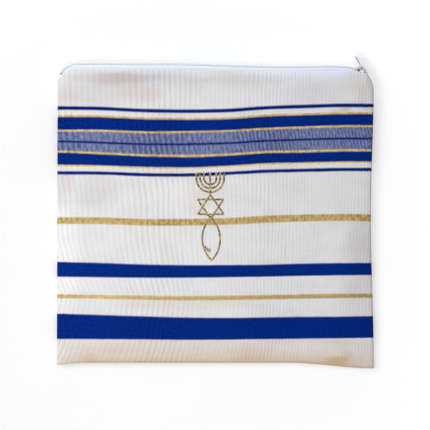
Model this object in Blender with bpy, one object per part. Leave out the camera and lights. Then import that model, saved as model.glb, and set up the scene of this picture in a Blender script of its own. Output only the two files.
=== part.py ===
"""Zip-top tallit bag: a flat pouch of prayer-shawl cloth, lying on its back panel.

Metres, +Z up. The bag lies on the plane z = 0. The zip runs along the +Y edge, with its
slider at the +X end. The front and back panels meet in a seam round the sides and the
bottom. The two zip tapes come out between the panels and carry the chain, so the top
edge is a soft roll. The pull tab turns on a bar that is trapped under the slider's arch.
"""

import math
from typing import NamedTuple

import bmesh
import bpy
import numpy as np
from mathutils import Matrix, Vector

MM = 0.001

# Driving sizes of the bag
BAG_WIDTH = 290 * MM
PANEL_LENGTH = 267 * MM
CLOTH = 1.2 * MM
GAP = 0.3 * MM

# Outline, seen from above
HALF_WIDTH = BAG_WIDTH / 2
BOTTOM_Y = -PANEL_LENGTH / 2
TOP_Y = PANEL_LENGTH / 2
LEFT_TAPER = 1.2 * MM
RIGHT_WAIST = 2.7 * MM
TOP_FALL = 1.2 * MM
TOP_FALL_START = -60 * MM
TOP_FALL_LENGTH = 110 * MM
SLIDER_SLOPE = 0.16
SLOPE_START = 120 * MM
SLOPE_EASE = 8 * MM


class Ear(NamedTuple):
    """A lower corner that hangs below the bottom edge's middle."""

    depth: float
    length: float


LEFT_EAR = Ear(depth=1.7 * MM, length=24 * MM)
RIGHT_EAR = Ear(depth=5.2 * MM, length=78 * MM)


class Corner(NamedTuple):
    """An upper corner, cut off in a curve from the side to the top edge."""

    run: float
    drop: float
    power: float


LEFT_CORNER = Corner(run=15.5 * MM, drop=9.2 * MM, power=1.3)
RIGHT_CORNER = Corner(run=7.8 * MM, drop=14 * MM, power=1.6)

# Heights
ZIP_MID = 5.2 * MM
LOW_SEAM = 3.0 * MM
SEAM_RISE_SHARE = 0.93
EDGE_ROLL = 3.0 * MM
SHOULDER = 2.6 * MM
ZIP_LIFT = 2.45 * MM
LIFT_FLAT = 4 * MM
LIFT_FADE = 13 * MM
LIFT_EASE = 10 * MM
BELLY = 5.6 * MM
BELLY_POWER = 3
BACK_LIFT = 0.9 * MM
BACK_LIFT_REACH = 14 * MM
FOLD_EDGE = 7 * MM


class Fold(NamedTuple):
    """A soft crease in the front panel: a ridge where height is positive, else a trough."""

    x: float
    y: float
    angle_deg: float
    length: float
    width: float
    height: float


FOLDS_MM = (
    Fold(x=-113, y=107, angle_deg=-38, length=30, width=9, height=0.9),
    Fold(x=-84, y=117, angle_deg=-2, length=48, width=9, height=-0.9),
    Fold(x=38, y=117, angle_deg=1, length=60, width=8, height=-0.5),
    Fold(x=116, y=103, angle_deg=40, length=28, width=9, height=0.8),
    Fold(x=-18, y=70, angle_deg=-78, length=52, width=24, height=-0.9),
    Fold(x=60, y=52, angle_deg=-84, length=70, width=26, height=0.6),
    Fold(x=126, y=-26, angle_deg=32, length=24, width=8, height=0.7),
    Fold(x=128, y=-62, angle_deg=24, length=20, width=8, height=0.6),
    Fold(x=-124, y=-40, angle_deg=-18, length=26, width=10, height=-0.5),
    Fold(x=-96, y=-104, angle_deg=36, length=34, width=11, height=0.7),
    Fold(x=108, y=-124, angle_deg=8, length=14, width=8, height=-1.1),
    Fold(x=24, y=-116, angle_deg=2, length=70, width=12, height=0.5),
)

# Grid lines of a panel, as distances from an edge past its roll
ROLL_STEPS = 4
SIDE_LINES = (4.8 * MM, 7.4 * MM, 10.6 * MM, 15 * MM, 21 * MM)
BOTTOM_LINES = (6 * MM, 11 * MM)
TOP_LINES = (5.5 * MM, 8.5 * MM, 12.5 * MM, 17.5 * MM)


class PanelGrid(NamedTuple):
    """How many lines a panel has between its edge lines."""

    columns: int
    rows: int


FRONT_GRID = PanelGrid(columns=19, rows=18)
BACK_GRID = PanelGrid(columns=9, rows=8)

# Zip
ZIP_START = -140 * MM
ZIP_END = 139 * MM
ZIP_CLOSE_LENGTH = 4 * MM
TAPE = 0.8 * MM
TAPE_SLIT = 2.1 * MM
TAPE_GAP = 0.37 * MM
TAPE_FLANGE = 7 * MM
TAPE_FLANGE_END = 1.5 * MM
TAPE_FLANGE_EASE = 24 * MM
TAPE_ARC_STEPS = 4
ZIP_LEFT_BEND = -119 * MM
ZIP_RIGHT_BEND = 117 * MM
LEFT_BEND_STATIONS = 9
ZIP_MIDDLE_STATIONS = 16
RIGHT_BEND_STATIONS = 13
NORMAL_SPAN = 4 * MM
CHAIN_WIDTH = 4.4 * MM
CHAIN_THICKNESS = 1.9 * MM
CHAIN_CHAMFER = 0.5 * MM
CHAIN_STACK = GAP + CHAIN_THICKNESS
CHAIN_LEFT_END = -137.5 * MM


class Reach(NamedTuple):
    """How far the chain's crown stands out past the panel's top edge, at one x."""

    x: float
    reach: float


ZIP_REACH = (
    Reach(x=-140 * MM, reach=2.7 * MM),
    Reach(x=-136 * MM, reach=4.0 * MM),
    Reach(x=-129 * MM, reach=5.6 * MM),
    Reach(x=-110 * MM, reach=6.1 * MM),
    Reach(x=-40 * MM, reach=5.6 * MM),
    Reach(x=32 * MM, reach=4.2 * MM),
    Reach(x=110 * MM, reach=3.8 * MM),
    Reach(x=126 * MM, reach=2.8 * MM),
    Reach(x=139 * MM, reach=2.6 * MM),
)

# Slider and pull tab, in the slider's frame: x along the zip, y outwards, z across it
SLIDER_X = 133 * MM
PLATE_LENGTH = 10.4 * MM
PLATE_WIDTH = 7.0 * MM
PLATE_THICKNESS = 0.9 * MM
PLATE_LOW = CHAIN_STACK + 0.4 * MM
PLATE_HIGH = PLATE_LOW + PLATE_THICKNESS
PLATE_CORNER = 1.4 * MM
FLANGE_THICKNESS = 0.8 * MM
FLANGE_LOW = -0.15 * MM
FLANGE_END = 1.4 * MM
POST_START = 1.1 * MM
POST_END = 3.4 * MM
POST_WIDTH = 1.0 * MM
INNER_PLATE_START = -3.4 * MM
INNER_PLATE_WIDTH = 2.8 * MM
INNER_PLATE_HIGH = -1.8 * MM
INNER_PLATE_LOW = -2.6 * MM
JOIN = 0.3 * MM
ARCH_HALF_SPAN = 3.0 * MM
ARCH_WIDTH = 1.5 * MM
ARCH_THICKNESS = 0.8 * MM
ARCH_STEPS = 10
TAB_THICKNESS = 0.84 * MM
BAR_CLEARANCE = 0.33 * MM
ARCH_CLEAR = TAB_THICKNESS + 2 * BAR_CLEARANCE
PIVOT_ALONG = 0.4 * MM
PIVOT_OUT = PLATE_HIGH + ARCH_CLEAR / 2
TAB_LENGTH = 13.6 * MM
TAB_EYE_WIDTH = 4.2 * MM
TAB_WIDTH = 5.2 * MM
TAB_TIP_WIDTH = 3.6 * MM
TAB_WINDOW_WIDTH = 2.3 * MM
TAB_WINDOW_END = 4.1 * MM
TAB_BEVEL = 0.2 * MM
TAB_REST_DEG = 130


# Small helpers


def smooth(t):
    """0 below 0, 1 above 1, and a smooth step in between."""
    t = np.clip(t, 0.0, 1.0)
    return t * t * (3 - 2 * t)


def rolled(distance, radius):
    """A quarter round: 0 at the edge, 1 at one radius from it."""
    q = 1 - np.clip(distance / radius, 0.0, 1.0)
    return np.sqrt(1 - q * q)


def corner_cut(distance, corner):
    """How far a cut-off corner lies below the top edge, at a distance from the side."""
    q = 1 - np.clip(distance / corner.run, 0.0, 1.0)
    return corner.drop * (1 - (1 - q**corner.power) ** (1 / corner.power))


# The bag's outline


def share_up(y):
    """How far up the panel y lies, from 0 at the bottom to 1 at the top."""
    return np.clip((y - BOTTOM_Y) / PANEL_LENGTH, 0.0, 1.0)


def left_edge(share):
    return -HALF_WIDTH + LEFT_TAPER * share


def right_edge(share):
    return HALF_WIDTH - RIGHT_WAIST * np.sin(np.pi * share) ** 2


def bottom_edge(x):
    left = 1 - smooth((x - left_edge(0.0)) / LEFT_EAR.length)
    right = 1 - smooth((right_edge(0.0) - x) / RIGHT_EAR.length)
    return BOTTOM_Y - LEFT_EAR.depth * left - RIGHT_EAR.depth * right


def top_edge(x):
    """The panels' top edge: level, a gentle fall, a slope at the slider, and two corners."""
    y = TOP_Y - TOP_FALL * smooth((x - TOP_FALL_START) / TOP_FALL_LENGTH)
    past = np.clip(x - SLOPE_START, 0.0, None)
    eased = np.minimum(past, SLOPE_EASE)
    y = y - SLIDER_SLOPE * (eased * eased / (2 * SLOPE_EASE) + past - eased)
    y = y - corner_cut(x - left_edge(1.0), LEFT_CORNER)
    return y - corner_cut(right_edge(1.0) - x, RIGHT_CORNER)


def top_direction(x):
    """The top edge's direction at x, averaged over a short span: (cosine, sine)."""
    low = np.maximum(x - NORMAL_SPAN, left_edge(1.0))
    high = np.minimum(x + NORMAL_SPAN, right_edge(1.0))
    rise = top_edge(high) - top_edge(low)
    length = np.hypot(high - low, rise)
    return (high - low) / length, rise / length


def sewn_share(x):
    """1 where the top edge is sewn shut beside the zip, 0 along the zip."""
    left = 1 - smooth((x - ZIP_START + ZIP_CLOSE_LENGTH / 2) / ZIP_CLOSE_LENGTH)
    right = smooth((x - ZIP_END + ZIP_CLOSE_LENGTH / 2) / ZIP_CLOSE_LENGTH)
    return np.maximum(left, right)


def edge_distances(x, y):
    """Distances from the left, right, bottom and top edges."""
    share = share_up(y)
    slant, _ = top_direction(x)
    return (
        x - left_edge(share),
        right_edge(share) - x,
        y - bottom_edge(x),
        (top_edge(x) - y) * slant,
    )


# The panels' faces


def seam_height(y):
    return LOW_SEAM + (ZIP_MID - LOW_SEAM) * smooth(share_up(y) / SEAM_RISE_SHARE)


def edge_roll(x, y, inset):
    """0 on the seam line and 1 past the roll, for the outer face or one inset from it."""
    left, right, bottom, top = edge_distances(x, y)
    radius = EDGE_ROLL - inset
    sewn = sewn_share(x)
    top_roll = rolled(top - inset * sewn, EDGE_ROLL - inset * sewn)
    roll = rolled(left - inset, radius) * rolled(right - inset, radius)
    return roll * rolled(bottom - inset, radius) * (1 - sewn * (1 - top_roll))


def folds_height(x, y):
    height = np.zeros_like(x + y)
    for fold in FOLDS_MM:
        turn = math.radians(fold.angle_deg)
        dx = x - fold.x * MM
        dy = y - fold.y * MM
        along = (dx * math.cos(turn) + dy * math.sin(turn)) / (fold.length * MM)
        across = (dy * math.cos(turn) - dx * math.sin(turn)) / (fold.width * MM)
        height = height + fold.height * MM * np.exp(-along * along - across * across)
    return height


def belly_height(x, y):
    """The slack cloth's low dome, with full sides."""
    left, right, bottom, top = edge_distances(x, y)
    across = np.clip(np.minimum(left, right) / HALF_WIDTH, 0.0, 1.0)
    along = np.clip(np.minimum(bottom, top) / (PANEL_LENGTH / 2), 0.0, 1.0)
    full = (1 - (1 - across) ** BELLY_POWER) * (1 - (1 - along) ** BELLY_POWER)
    return BELLY * full


def front_before_zip(x, y, inset):
    """The front panel's height where nothing bends it round the zip."""
    left, right, bottom, top = edge_distances(x, y)
    sides = smooth(left / LIFT_EASE) * smooth(right / LIFT_EASE)
    lift = ZIP_LIFT * sides * (1 - smooth((top - LIFT_FLAT) / LIFT_FADE))
    nearest = np.clip(np.minimum(np.minimum(left, right), np.minimum(bottom, top)), 0.0, None)
    folds = folds_height(x, y) * (1 - np.exp(-((nearest / FOLD_EDGE) ** 2)))
    shell = seam_height(y) + GAP / 2 + (SHOULDER - inset) * edge_roll(x, y, inset)
    return shell + lift + belly_height(x, y) + folds


def back_before_zip(x, y, inset):
    """The back panel's height: flat on the ground, lifting a little to its seam."""
    left, right, bottom, _ = edge_distances(x, y)
    nearest = np.minimum(np.minimum(left, right), bottom)
    lift = BACK_LIFT * (1 - smooth(nearest / BACK_LIFT_REACH))
    rim = seam_height(y) - GAP / 2
    return inset + lift + (rim - inset - lift) * (1 - edge_roll(x, y, inset))


def zip_reach(x):
    return np.interp(x, [row.x for row in ZIP_REACH], [row.reach for row in ZIP_REACH])


def tape_crown(x):
    """How far past the panel's top edge the tape's outer face reaches."""
    return zip_reach(x) - CHAIN_STACK


def tape_radius(x):
    """Outer radius of the bend that the two tapes make, as the panels leave room."""
    y = top_edge(x)
    over = front_before_zip(x, y, CLOTH) - ZIP_MID
    under = ZIP_MID - back_before_zip(x, y, CLOTH)
    return np.minimum(over, under) - TAPE_GAP


def bend_round_zip(x, y, inset):
    """How far a panel's free edge bends towards the zip's middle, over the tape."""
    top = edge_distances(x, y)[3]
    radius = tape_radius(x)
    outer = radius + GAP + CLOTH - inset
    past = np.clip(radius - tape_crown(x) - top, 0.0, 0.95 * outer)
    return (1 - sewn_share(x)) * (outer - np.sqrt(outer * outer - past * past))


def front_height(x, y, inset=0.0):
    return front_before_zip(x, y, inset) - bend_round_zip(x, y, inset)


def back_height(x, y, inset=0.0):
    return back_before_zip(x, y, inset) + bend_round_zip(x, y, CLOTH - inset)


# Meshes


def new_object(name, mesh, material):
    obj = bpy.data.objects.new(name, mesh)
    mesh.materials.append(material)
    bpy.context.scene.collection.objects.link(obj)
    return obj


def mesh_from(name, verts, faces):
    """A closed mesh whose faces point out."""
    mesh = bpy.data.meshes.new(name)
    mesh.from_pydata([tuple(map(float, v)) for v in verts], [], faces)
    bm = bmesh.new()
    bm.from_mesh(mesh)
    bmesh.ops.recalc_face_normals(bm, faces=bm.faces)
    if bm.calc_volume(signed=True) < 0:
        bmesh.ops.reverse_faces(bm, faces=bm.faces)
    bm.to_mesh(mesh)
    bm.free()
    return mesh


def shade_round(obj, angle_deg=40):
    obj.data.shade_smooth()
    obj.data.set_sharp_from_angle(angle=math.radians(angle_deg))


def roll_offsets(inset, share=1.0):
    """Distances from an edge of the lines that follow its roll."""
    turn = np.linspace(0.0, math.pi / 2, ROLL_STEPS + 1)
    start = inset * share
    return start + (EDGE_ROLL - start) * (1 - np.cos(turn))


def panel_points(grid, inset, height):
    """The panel face's points, an array of columns by rows by 3."""
    side = np.concatenate([roll_offsets(inset), SIDE_LINES])
    low_lines = np.concatenate([roll_offsets(inset), BOTTOM_LINES])
    top_count = ROLL_STEPS + 1 + len(TOP_LINES)
    middle_columns = np.linspace(0, 1, grid.columns + 2)[1:-1]
    middle_rows = np.linspace(0, 1, grid.rows + 2)[1:-1]
    shares = np.concatenate([np.zeros(len(low_lines)), middle_rows, np.ones(top_count)])
    points = []
    for row, share in enumerate(shares):
        left, right = left_edge(share), right_edge(share)
        inner_left, inner_right = left + SIDE_LINES[-1], right - SIDE_LINES[-1]
        middle = inner_left + middle_columns * (inner_right - inner_left)
        x = np.concatenate([left + side, middle, right - side[::-1]])
        bottom, top = bottom_edge(x), top_edge(x)
        if row < len(low_lines):
            y = bottom + low_lines[row]
        elif row < len(low_lines) + grid.rows:
            low, high = bottom + BOTTOM_LINES[-1], top - TOP_LINES[-1]
            y = low + middle_rows[row - len(low_lines)] * (high - low)
        else:
            from_top = len(shares) - 1 - row
            sewn = sewn_share(x)
            if from_top > ROLL_STEPS:
                y = top - TOP_LINES[from_top - ROLL_STEPS - 1]
            else:
                y = top - np.array([roll_offsets(inset, part)[from_top] for part in sewn])
        points.append(np.stack([x, y, height(x, y, inset)], axis=-1))
    return np.array(points).transpose(1, 0, 2)


def panel(name, grid, height, material):
    """A cloth panel: an outer face, an inner face one cloth away, and the rim between."""
    outer = panel_points(grid, 0.0, height)
    inner = panel_points(grid, CLOTH, height)
    columns, rows = outer.shape[:2]
    verts = np.concatenate([outer.reshape(-1, 3), inner.reshape(-1, 3)])
    inner_start = columns * rows

    def index(column, row):
        return column * rows + row

    faces = []
    for start in (0, inner_start):
        for i in range(columns - 1):
            for j in range(rows - 1):
                corners = (index(i, j), index(i + 1, j), index(i + 1, j + 1), index(i, j + 1))
                faces.append([start + c for c in corners])
    rim = [index(i, 0) for i in range(columns)]
    rim += [index(columns - 1, j) for j in range(1, rows)]
    rim += [index(i, rows - 1) for i in range(columns - 2, -1, -1)]
    rim += [index(0, j) for j in range(rows - 2, 0, -1)]
    for a, b in zip(rim, rim[1:] + rim[:1]):
        faces.append([a, b, b + inner_start, a + inner_start])
    obj = new_object(name, mesh_from(name, verts, faces), material)
    shade_round(obj)
    return obj


def sweep(name, rings, material):
    """A closed bar through equal rings of points, with flat ends."""
    rings = np.array(rings)
    count, size = rings.shape[:2]
    faces = []
    for i in range(count - 1):
        for j in range(size):
            k = (j + 1) % size
            faces.append([i * size + j, i * size + k, (i + 1) * size + k, (i + 1) * size + j])
    faces.append(list(range(size)))
    faces.append([(count - 1) * size + j for j in range(size)])
    obj = new_object(name, mesh_from(name, rings.reshape(-1, 3), faces), material)
    shade_round(obj)
    return obj


def zip_frame(x):
    """A point of the panels' top edge at the zip's middle height, and the way out of it."""
    cosine, sine = top_direction(x)
    return np.array([x, top_edge(x), ZIP_MID]), np.array([-sine, cosine, 0.0])


def zip_stations(start, end):
    """Places along the zip, close together where it bends down at its ends."""
    places = np.concatenate(
        [
            np.linspace(ZIP_START, ZIP_LEFT_BEND, LEFT_BEND_STATIONS),
            np.linspace(ZIP_LEFT_BEND, ZIP_RIGHT_BEND, ZIP_MIDDLE_STATIONS + 2)[1:-1],
            np.linspace(ZIP_RIGHT_BEND, ZIP_END, RIGHT_BEND_STATIONS),
        ]
    )
    inside = places[(places > start + GAP) & (places < end - GAP)]
    return np.concatenate([[start], inside, [end]])


def tape_ring(x, side):
    """One section of a tape: a flange under its panel, then a bend up to the crown."""
    edge, out = zip_frame(x)
    radius = float(tape_radius(x))
    centre = float(tape_crown(x)) - radius
    from_end = min(x - ZIP_START, ZIP_END - x)
    ease = float(smooth(from_end / TAPE_FLANGE_EASE))
    flange = TAPE_FLANGE_END + (TAPE_FLANGE - TAPE_FLANGE_END) * ease
    outer, inner = [], []
    for share in (1.0, 0.5):
        spot = edge + out * (centre - share * flange)
        if side > 0:
            room = float(front_height(spot[0], spot[1], CLOTH)) - ZIP_MID - TAPE_GAP
        else:
            room = ZIP_MID - float(back_height(spot[0], spot[1], CLOTH)) - TAPE_GAP
        lie = min(radius, room)
        outer.append(spot + Vector((0, 0, side * lie)))
        inner.append(spot + Vector((0, 0, side * (lie - TAPE))))
    last = math.asin(min(0.9, TAPE_SLIT / 2 / radius))
    for turn in np.linspace(math.pi / 2, last, TAPE_ARC_STEPS + 1):
        for line, reach in ((outer, radius), (inner, radius - TAPE)):
            step = Vector((0, 0, side * reach * math.sin(turn)))
            line.append(edge + out * (centre + reach * math.cos(turn)) + step)
    return outer + inner[::-1]


def zip_tape(name, side, material):
    rings = [tape_ring(x, side) for x in zip_stations(ZIP_START, ZIP_END)]
    return sweep(name, rings, material)


def chain_ring(x):
    """One section of the closed chain: a bar with chamfered corners on the crown."""
    edge, out = zip_frame(x)
    low = float(tape_crown(x)) + GAP
    high = low + CHAIN_THICKNESS
    half = min(CHAIN_WIDTH / 2, float(tape_radius(x)))
    cut = CHAIN_CHAMFER
    section = (
        (low, -half + cut),
        (low + cut, -half),
        (high - cut, -half),
        (high, -half + cut),
        (high, half - cut),
        (high - cut, half),
        (low + cut, half),
        (low, half - cut),
    )
    return [edge + out * reach + Vector((0, 0, z)) for reach, z in section]


def zip_chain(material):
    right_end = SLIDER_X + POST_START - 2 * GAP
    rings = [chain_ring(x) for x in zip_stations(CHAIN_LEFT_END, right_end)]
    return sweep("zip_chain", rings, material)


# Slider and pull tab


def prism(name, outline, low, high, material):
    """An outline in the slider's x and z, extruded along its y."""
    size = len(outline)
    verts = [(x, y, z) for y in (low, high) for x, z in outline]
    faces = [list(range(size)), list(range(size, 2 * size))]
    for i in range(size):
        j = (i + 1) % size
        faces.append([i, j, size + j, size + i])
    return new_object(name, mesh_from(name, verts, faces), material)


def block(name, x_range, y_range, z_range, material):
    (x0, x1), (z0, z1) = x_range, z_range
    outline = ((x0, z0), (x1, z0), (x1, z1), (x0, z1))
    return prism(name, outline, y_range[0], y_range[1], material)


def plate_outline():
    """The slider's outer plate: a rectangle whose corners are cut round."""
    half_length, half_width, cut = PLATE_LENGTH / 2, PLATE_WIDTH / 2, PLATE_CORNER
    points = []
    for quarter in range(4):
        turn = quarter * math.pi / 2
        sx = 1 if quarter in (0, 3) else -1
        sz = 1 if quarter in (0, 1) else -1
        for step in (0.0, 0.5, 1.0):
            angle = turn + step * math.pi / 2
            x = sx * (half_length - cut) + cut * math.cos(angle)
            z = sz * (half_width - cut) + cut * math.sin(angle)
            points.append((x, z))
    return points


def arch(material):
    """The slider's arch, a flat band over the plate from end to end."""
    crown = PLATE_HIGH + ARCH_CLEAR + ARCH_THICKNESS
    foot = PLATE_HIGH - JOIN
    rings = []
    for turn in np.linspace(math.pi, 0.0, ARCH_STEPS + 1):
        ring = []
        for inset, side in ((0, -1), (0, 1), (ARCH_THICKNESS, 1), (ARCH_THICKNESS, -1)):
            x = (ARCH_HALF_SPAN - inset) * math.cos(turn)
            y = foot + (crown - foot - inset) * math.sin(turn) ** 0.7
            ring.append((x, y, side * ARCH_WIDTH / 2))
        rings.append(ring)
    return sweep("arch_tool", rings, material)


def slider(material):
    """The slider as one solid: plate, two flanges, post, inner plate and arch."""
    half = PLATE_WIDTH / 2
    inside = half - FLANGE_THICKNESS
    start = -PLATE_LENGTH / 2 + PLATE_CORNER
    body = prism("zip_slider", plate_outline(), PLATE_LOW, PLATE_HIGH, material)
    wall = (FLANGE_LOW, PLATE_LOW + JOIN)
    post = (INNER_PLATE_LOW + JOIN, PLATE_LOW + JOIN)
    inner = (INNER_PLATE_LOW, INNER_PLATE_HIGH)
    half_post, half_inner = POST_WIDTH / 2, INNER_PLATE_WIDTH / 2
    tools = (
        block("flange_tool_front", (start, FLANGE_END), wall, (inside, half), material),
        block("flange_tool_back", (start, FLANGE_END), wall, (-half, -inside), material),
        block("post_tool", (POST_START, POST_END), post, (-half_post, half_post), material),
        block(
            "inner_plate_tool",
            (INNER_PLATE_START, POST_END - GAP),
            inner,
            (-half_inner, half_inner),
            material,
        ),
        arch(material),
    )
    for tool in tools:
        union = body.modifiers.new("join " + tool.name, "BOOLEAN")
        union.operation = "UNION"
        union.solver = "EXACT"
        union.object = tool
        tool.hide_render = True
        tool.display_type = "WIRE"
        tool.parent = body
    return body


def tab_outline():
    """The pull tab's outline in its own x and z, from the bar's end to the round tip."""
    bar = -TAB_THICKNESS / 2
    eye, half, tip = TAB_EYE_WIDTH / 2, TAB_WIDTH / 2, TAB_TIP_WIDTH / 2
    upper = [
        (bar, eye),
        (TAB_WINDOW_END - 0.6 * MM, eye),
        (TAB_WINDOW_END + 0.9 * MM, half),
        (TAB_LENGTH - 2.2 * MM, half),
        (TAB_LENGTH - 0.8 * MM, tip),
        (TAB_LENGTH, tip / 2),
    ]
    return upper + [(x, -z) for x, z in reversed(upper)]


def pull_tab(material):
    """The pull tab, with a window that the slider's arch passes through."""
    flat = TAB_THICKNESS / 2
    tab = prism("pull_tab", tab_outline(), -flat, flat, material)
    window_half = TAB_WINDOW_WIDTH / 2
    window = block(
        "window_tool",
        (flat, TAB_WINDOW_END),
        (-TAB_THICKNESS, TAB_THICKNESS),
        (-window_half, window_half),
        material,
    )
    window.hide_render = True
    window.display_type = "WIRE"
    window.parent = tab
    cut = tab.modifiers.new("cut the window", "BOOLEAN")
    cut.operation = "DIFFERENCE"
    cut.solver = "EXACT"
    cut.object = window
    bevel = tab.modifiers.new("soften the edges", "BEVEL")
    bevel.width = TAB_BEVEL
    bevel.segments = 1
    bevel.limit_method = "ANGLE"
    return tab


def place_slider(body, tab):
    """Sets the slider on the zip's crown and the tab on the arch, half raised."""
    edge, out = zip_frame(SLIDER_X)
    seat = Vector(edge + out * float(tape_crown(SLIDER_X)))
    heading = math.atan2(-out[0], out[1])
    body.matrix_world = Matrix.Translation(seat) @ Matrix.Rotation(heading, 4, "Z")
    pivot = body.matrix_world @ Vector((PIVOT_ALONG, PIVOT_OUT, 0))
    raised = heading + math.radians(TAB_REST_DEG)
    tab.matrix_world = Matrix.Translation(pivot) @ Matrix.Rotation(raised, 4, "Z")


def material(name, colour, roughness, metallic=0.0):
    made = bpy.data.materials.new(name)
    made.use_nodes = True
    shader = made.node_tree.nodes["Principled BSDF"]
    shader.inputs["Base Color"].default_value = (*colour, 1.0)
    shader.inputs["Roughness"].default_value = roughness
    shader.inputs["Metallic"].default_value = metallic
    made.diffuse_color = (*colour, 1.0)
    return made


def clear_scene():
    for obj in list(bpy.data.objects):
        bpy.data.objects.remove(obj)


def main():
    clear_scene()
    cloth = material("shawl_cloth", (0.86, 0.85, 0.83), 0.85)
    woven_tape = material("zip_tape", (0.88, 0.90, 0.95), 0.8)
    nylon = material("zip_nylon", (0.86, 0.90, 0.97), 0.45)
    nickel = material("nickel", (0.72, 0.73, 0.76), 0.25, metallic=1.0)
    panel("front_panel", FRONT_GRID, front_height, cloth)
    panel("back_panel", BACK_GRID, back_height, cloth)
    zip_tape("zip_tape_front", 1, woven_tape)
    zip_tape("zip_tape_back", -1, woven_tape)
    zip_chain(nylon)
    place_slider(slider(nickel), pull_tab(nickel))


main()
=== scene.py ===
"""A zip-top tallit bag of striped shawl cloth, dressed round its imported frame.

Metres, +Z up, in the frame's own axes. The bag lies on its back panel. The zip runs along
the +Y edge with its slider at the +X end, and the pull tab turns on the slider's arch.
"""

import logging
import math
from dataclasses import asdict, dataclass, field, fields
from enum import Enum

import bmesh
import bpy
import numpy as np
from mathutils import Matrix, Vector


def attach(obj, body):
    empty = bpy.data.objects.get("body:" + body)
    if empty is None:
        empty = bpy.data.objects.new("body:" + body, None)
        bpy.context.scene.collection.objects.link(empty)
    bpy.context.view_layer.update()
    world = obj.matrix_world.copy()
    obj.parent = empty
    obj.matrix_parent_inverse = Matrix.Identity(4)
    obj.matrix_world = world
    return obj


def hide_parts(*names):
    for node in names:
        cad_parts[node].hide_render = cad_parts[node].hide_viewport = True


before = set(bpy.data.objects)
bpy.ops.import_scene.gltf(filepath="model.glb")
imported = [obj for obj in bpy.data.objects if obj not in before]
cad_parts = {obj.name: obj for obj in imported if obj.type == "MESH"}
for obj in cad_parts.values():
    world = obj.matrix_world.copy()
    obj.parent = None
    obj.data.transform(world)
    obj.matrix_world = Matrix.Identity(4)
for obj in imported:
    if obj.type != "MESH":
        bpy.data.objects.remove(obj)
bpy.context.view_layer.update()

MM = 0.001
Field = np.ndarray
Socket = bpy.types.NodeSocket
Material = bpy.types.Material
Object = bpy.types.Object
Mesh = bpy.types.Mesh
Node = bpy.types.Node
NodeTree = bpy.types.NodeTree
Numbers = tuple[float, ...]
Colour = tuple[float, float, float]
Path = list[tuple[float, float]]
UP = np.array([0.0, 0.0, 1.0])

log = logging.getLogger("tallit_bag")


# The bag's form, as the frame has it


def smooth(t: Field) -> Field:
    """A smooth step from 0 at 0 to 1 at 1."""
    t = np.clip(t, 0.0, 1.0)
    return t * t * (3 - 2 * t)


def rolled(distance: Field, radius: float) -> Field:
    """A quarter round: 0 at the edge, 1 at one radius from it."""
    q = 1 - np.clip(distance / radius, 0.0, 1.0)
    return np.sqrt(1 - q * q)


@dataclass(frozen=True)
class CutCorner:
    """An upper corner, cut off in a curve from the side to the top edge."""

    run: float
    drop: float
    power: float

    def cut(self, distance: Field) -> Field:
        """How far the corner lies below the top edge, at a distance from the side."""
        q = 1 - np.clip(distance / self.run, 0.0, 1.0)
        return self.drop * (1 - (1 - q**self.power) ** (1 / self.power))


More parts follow.
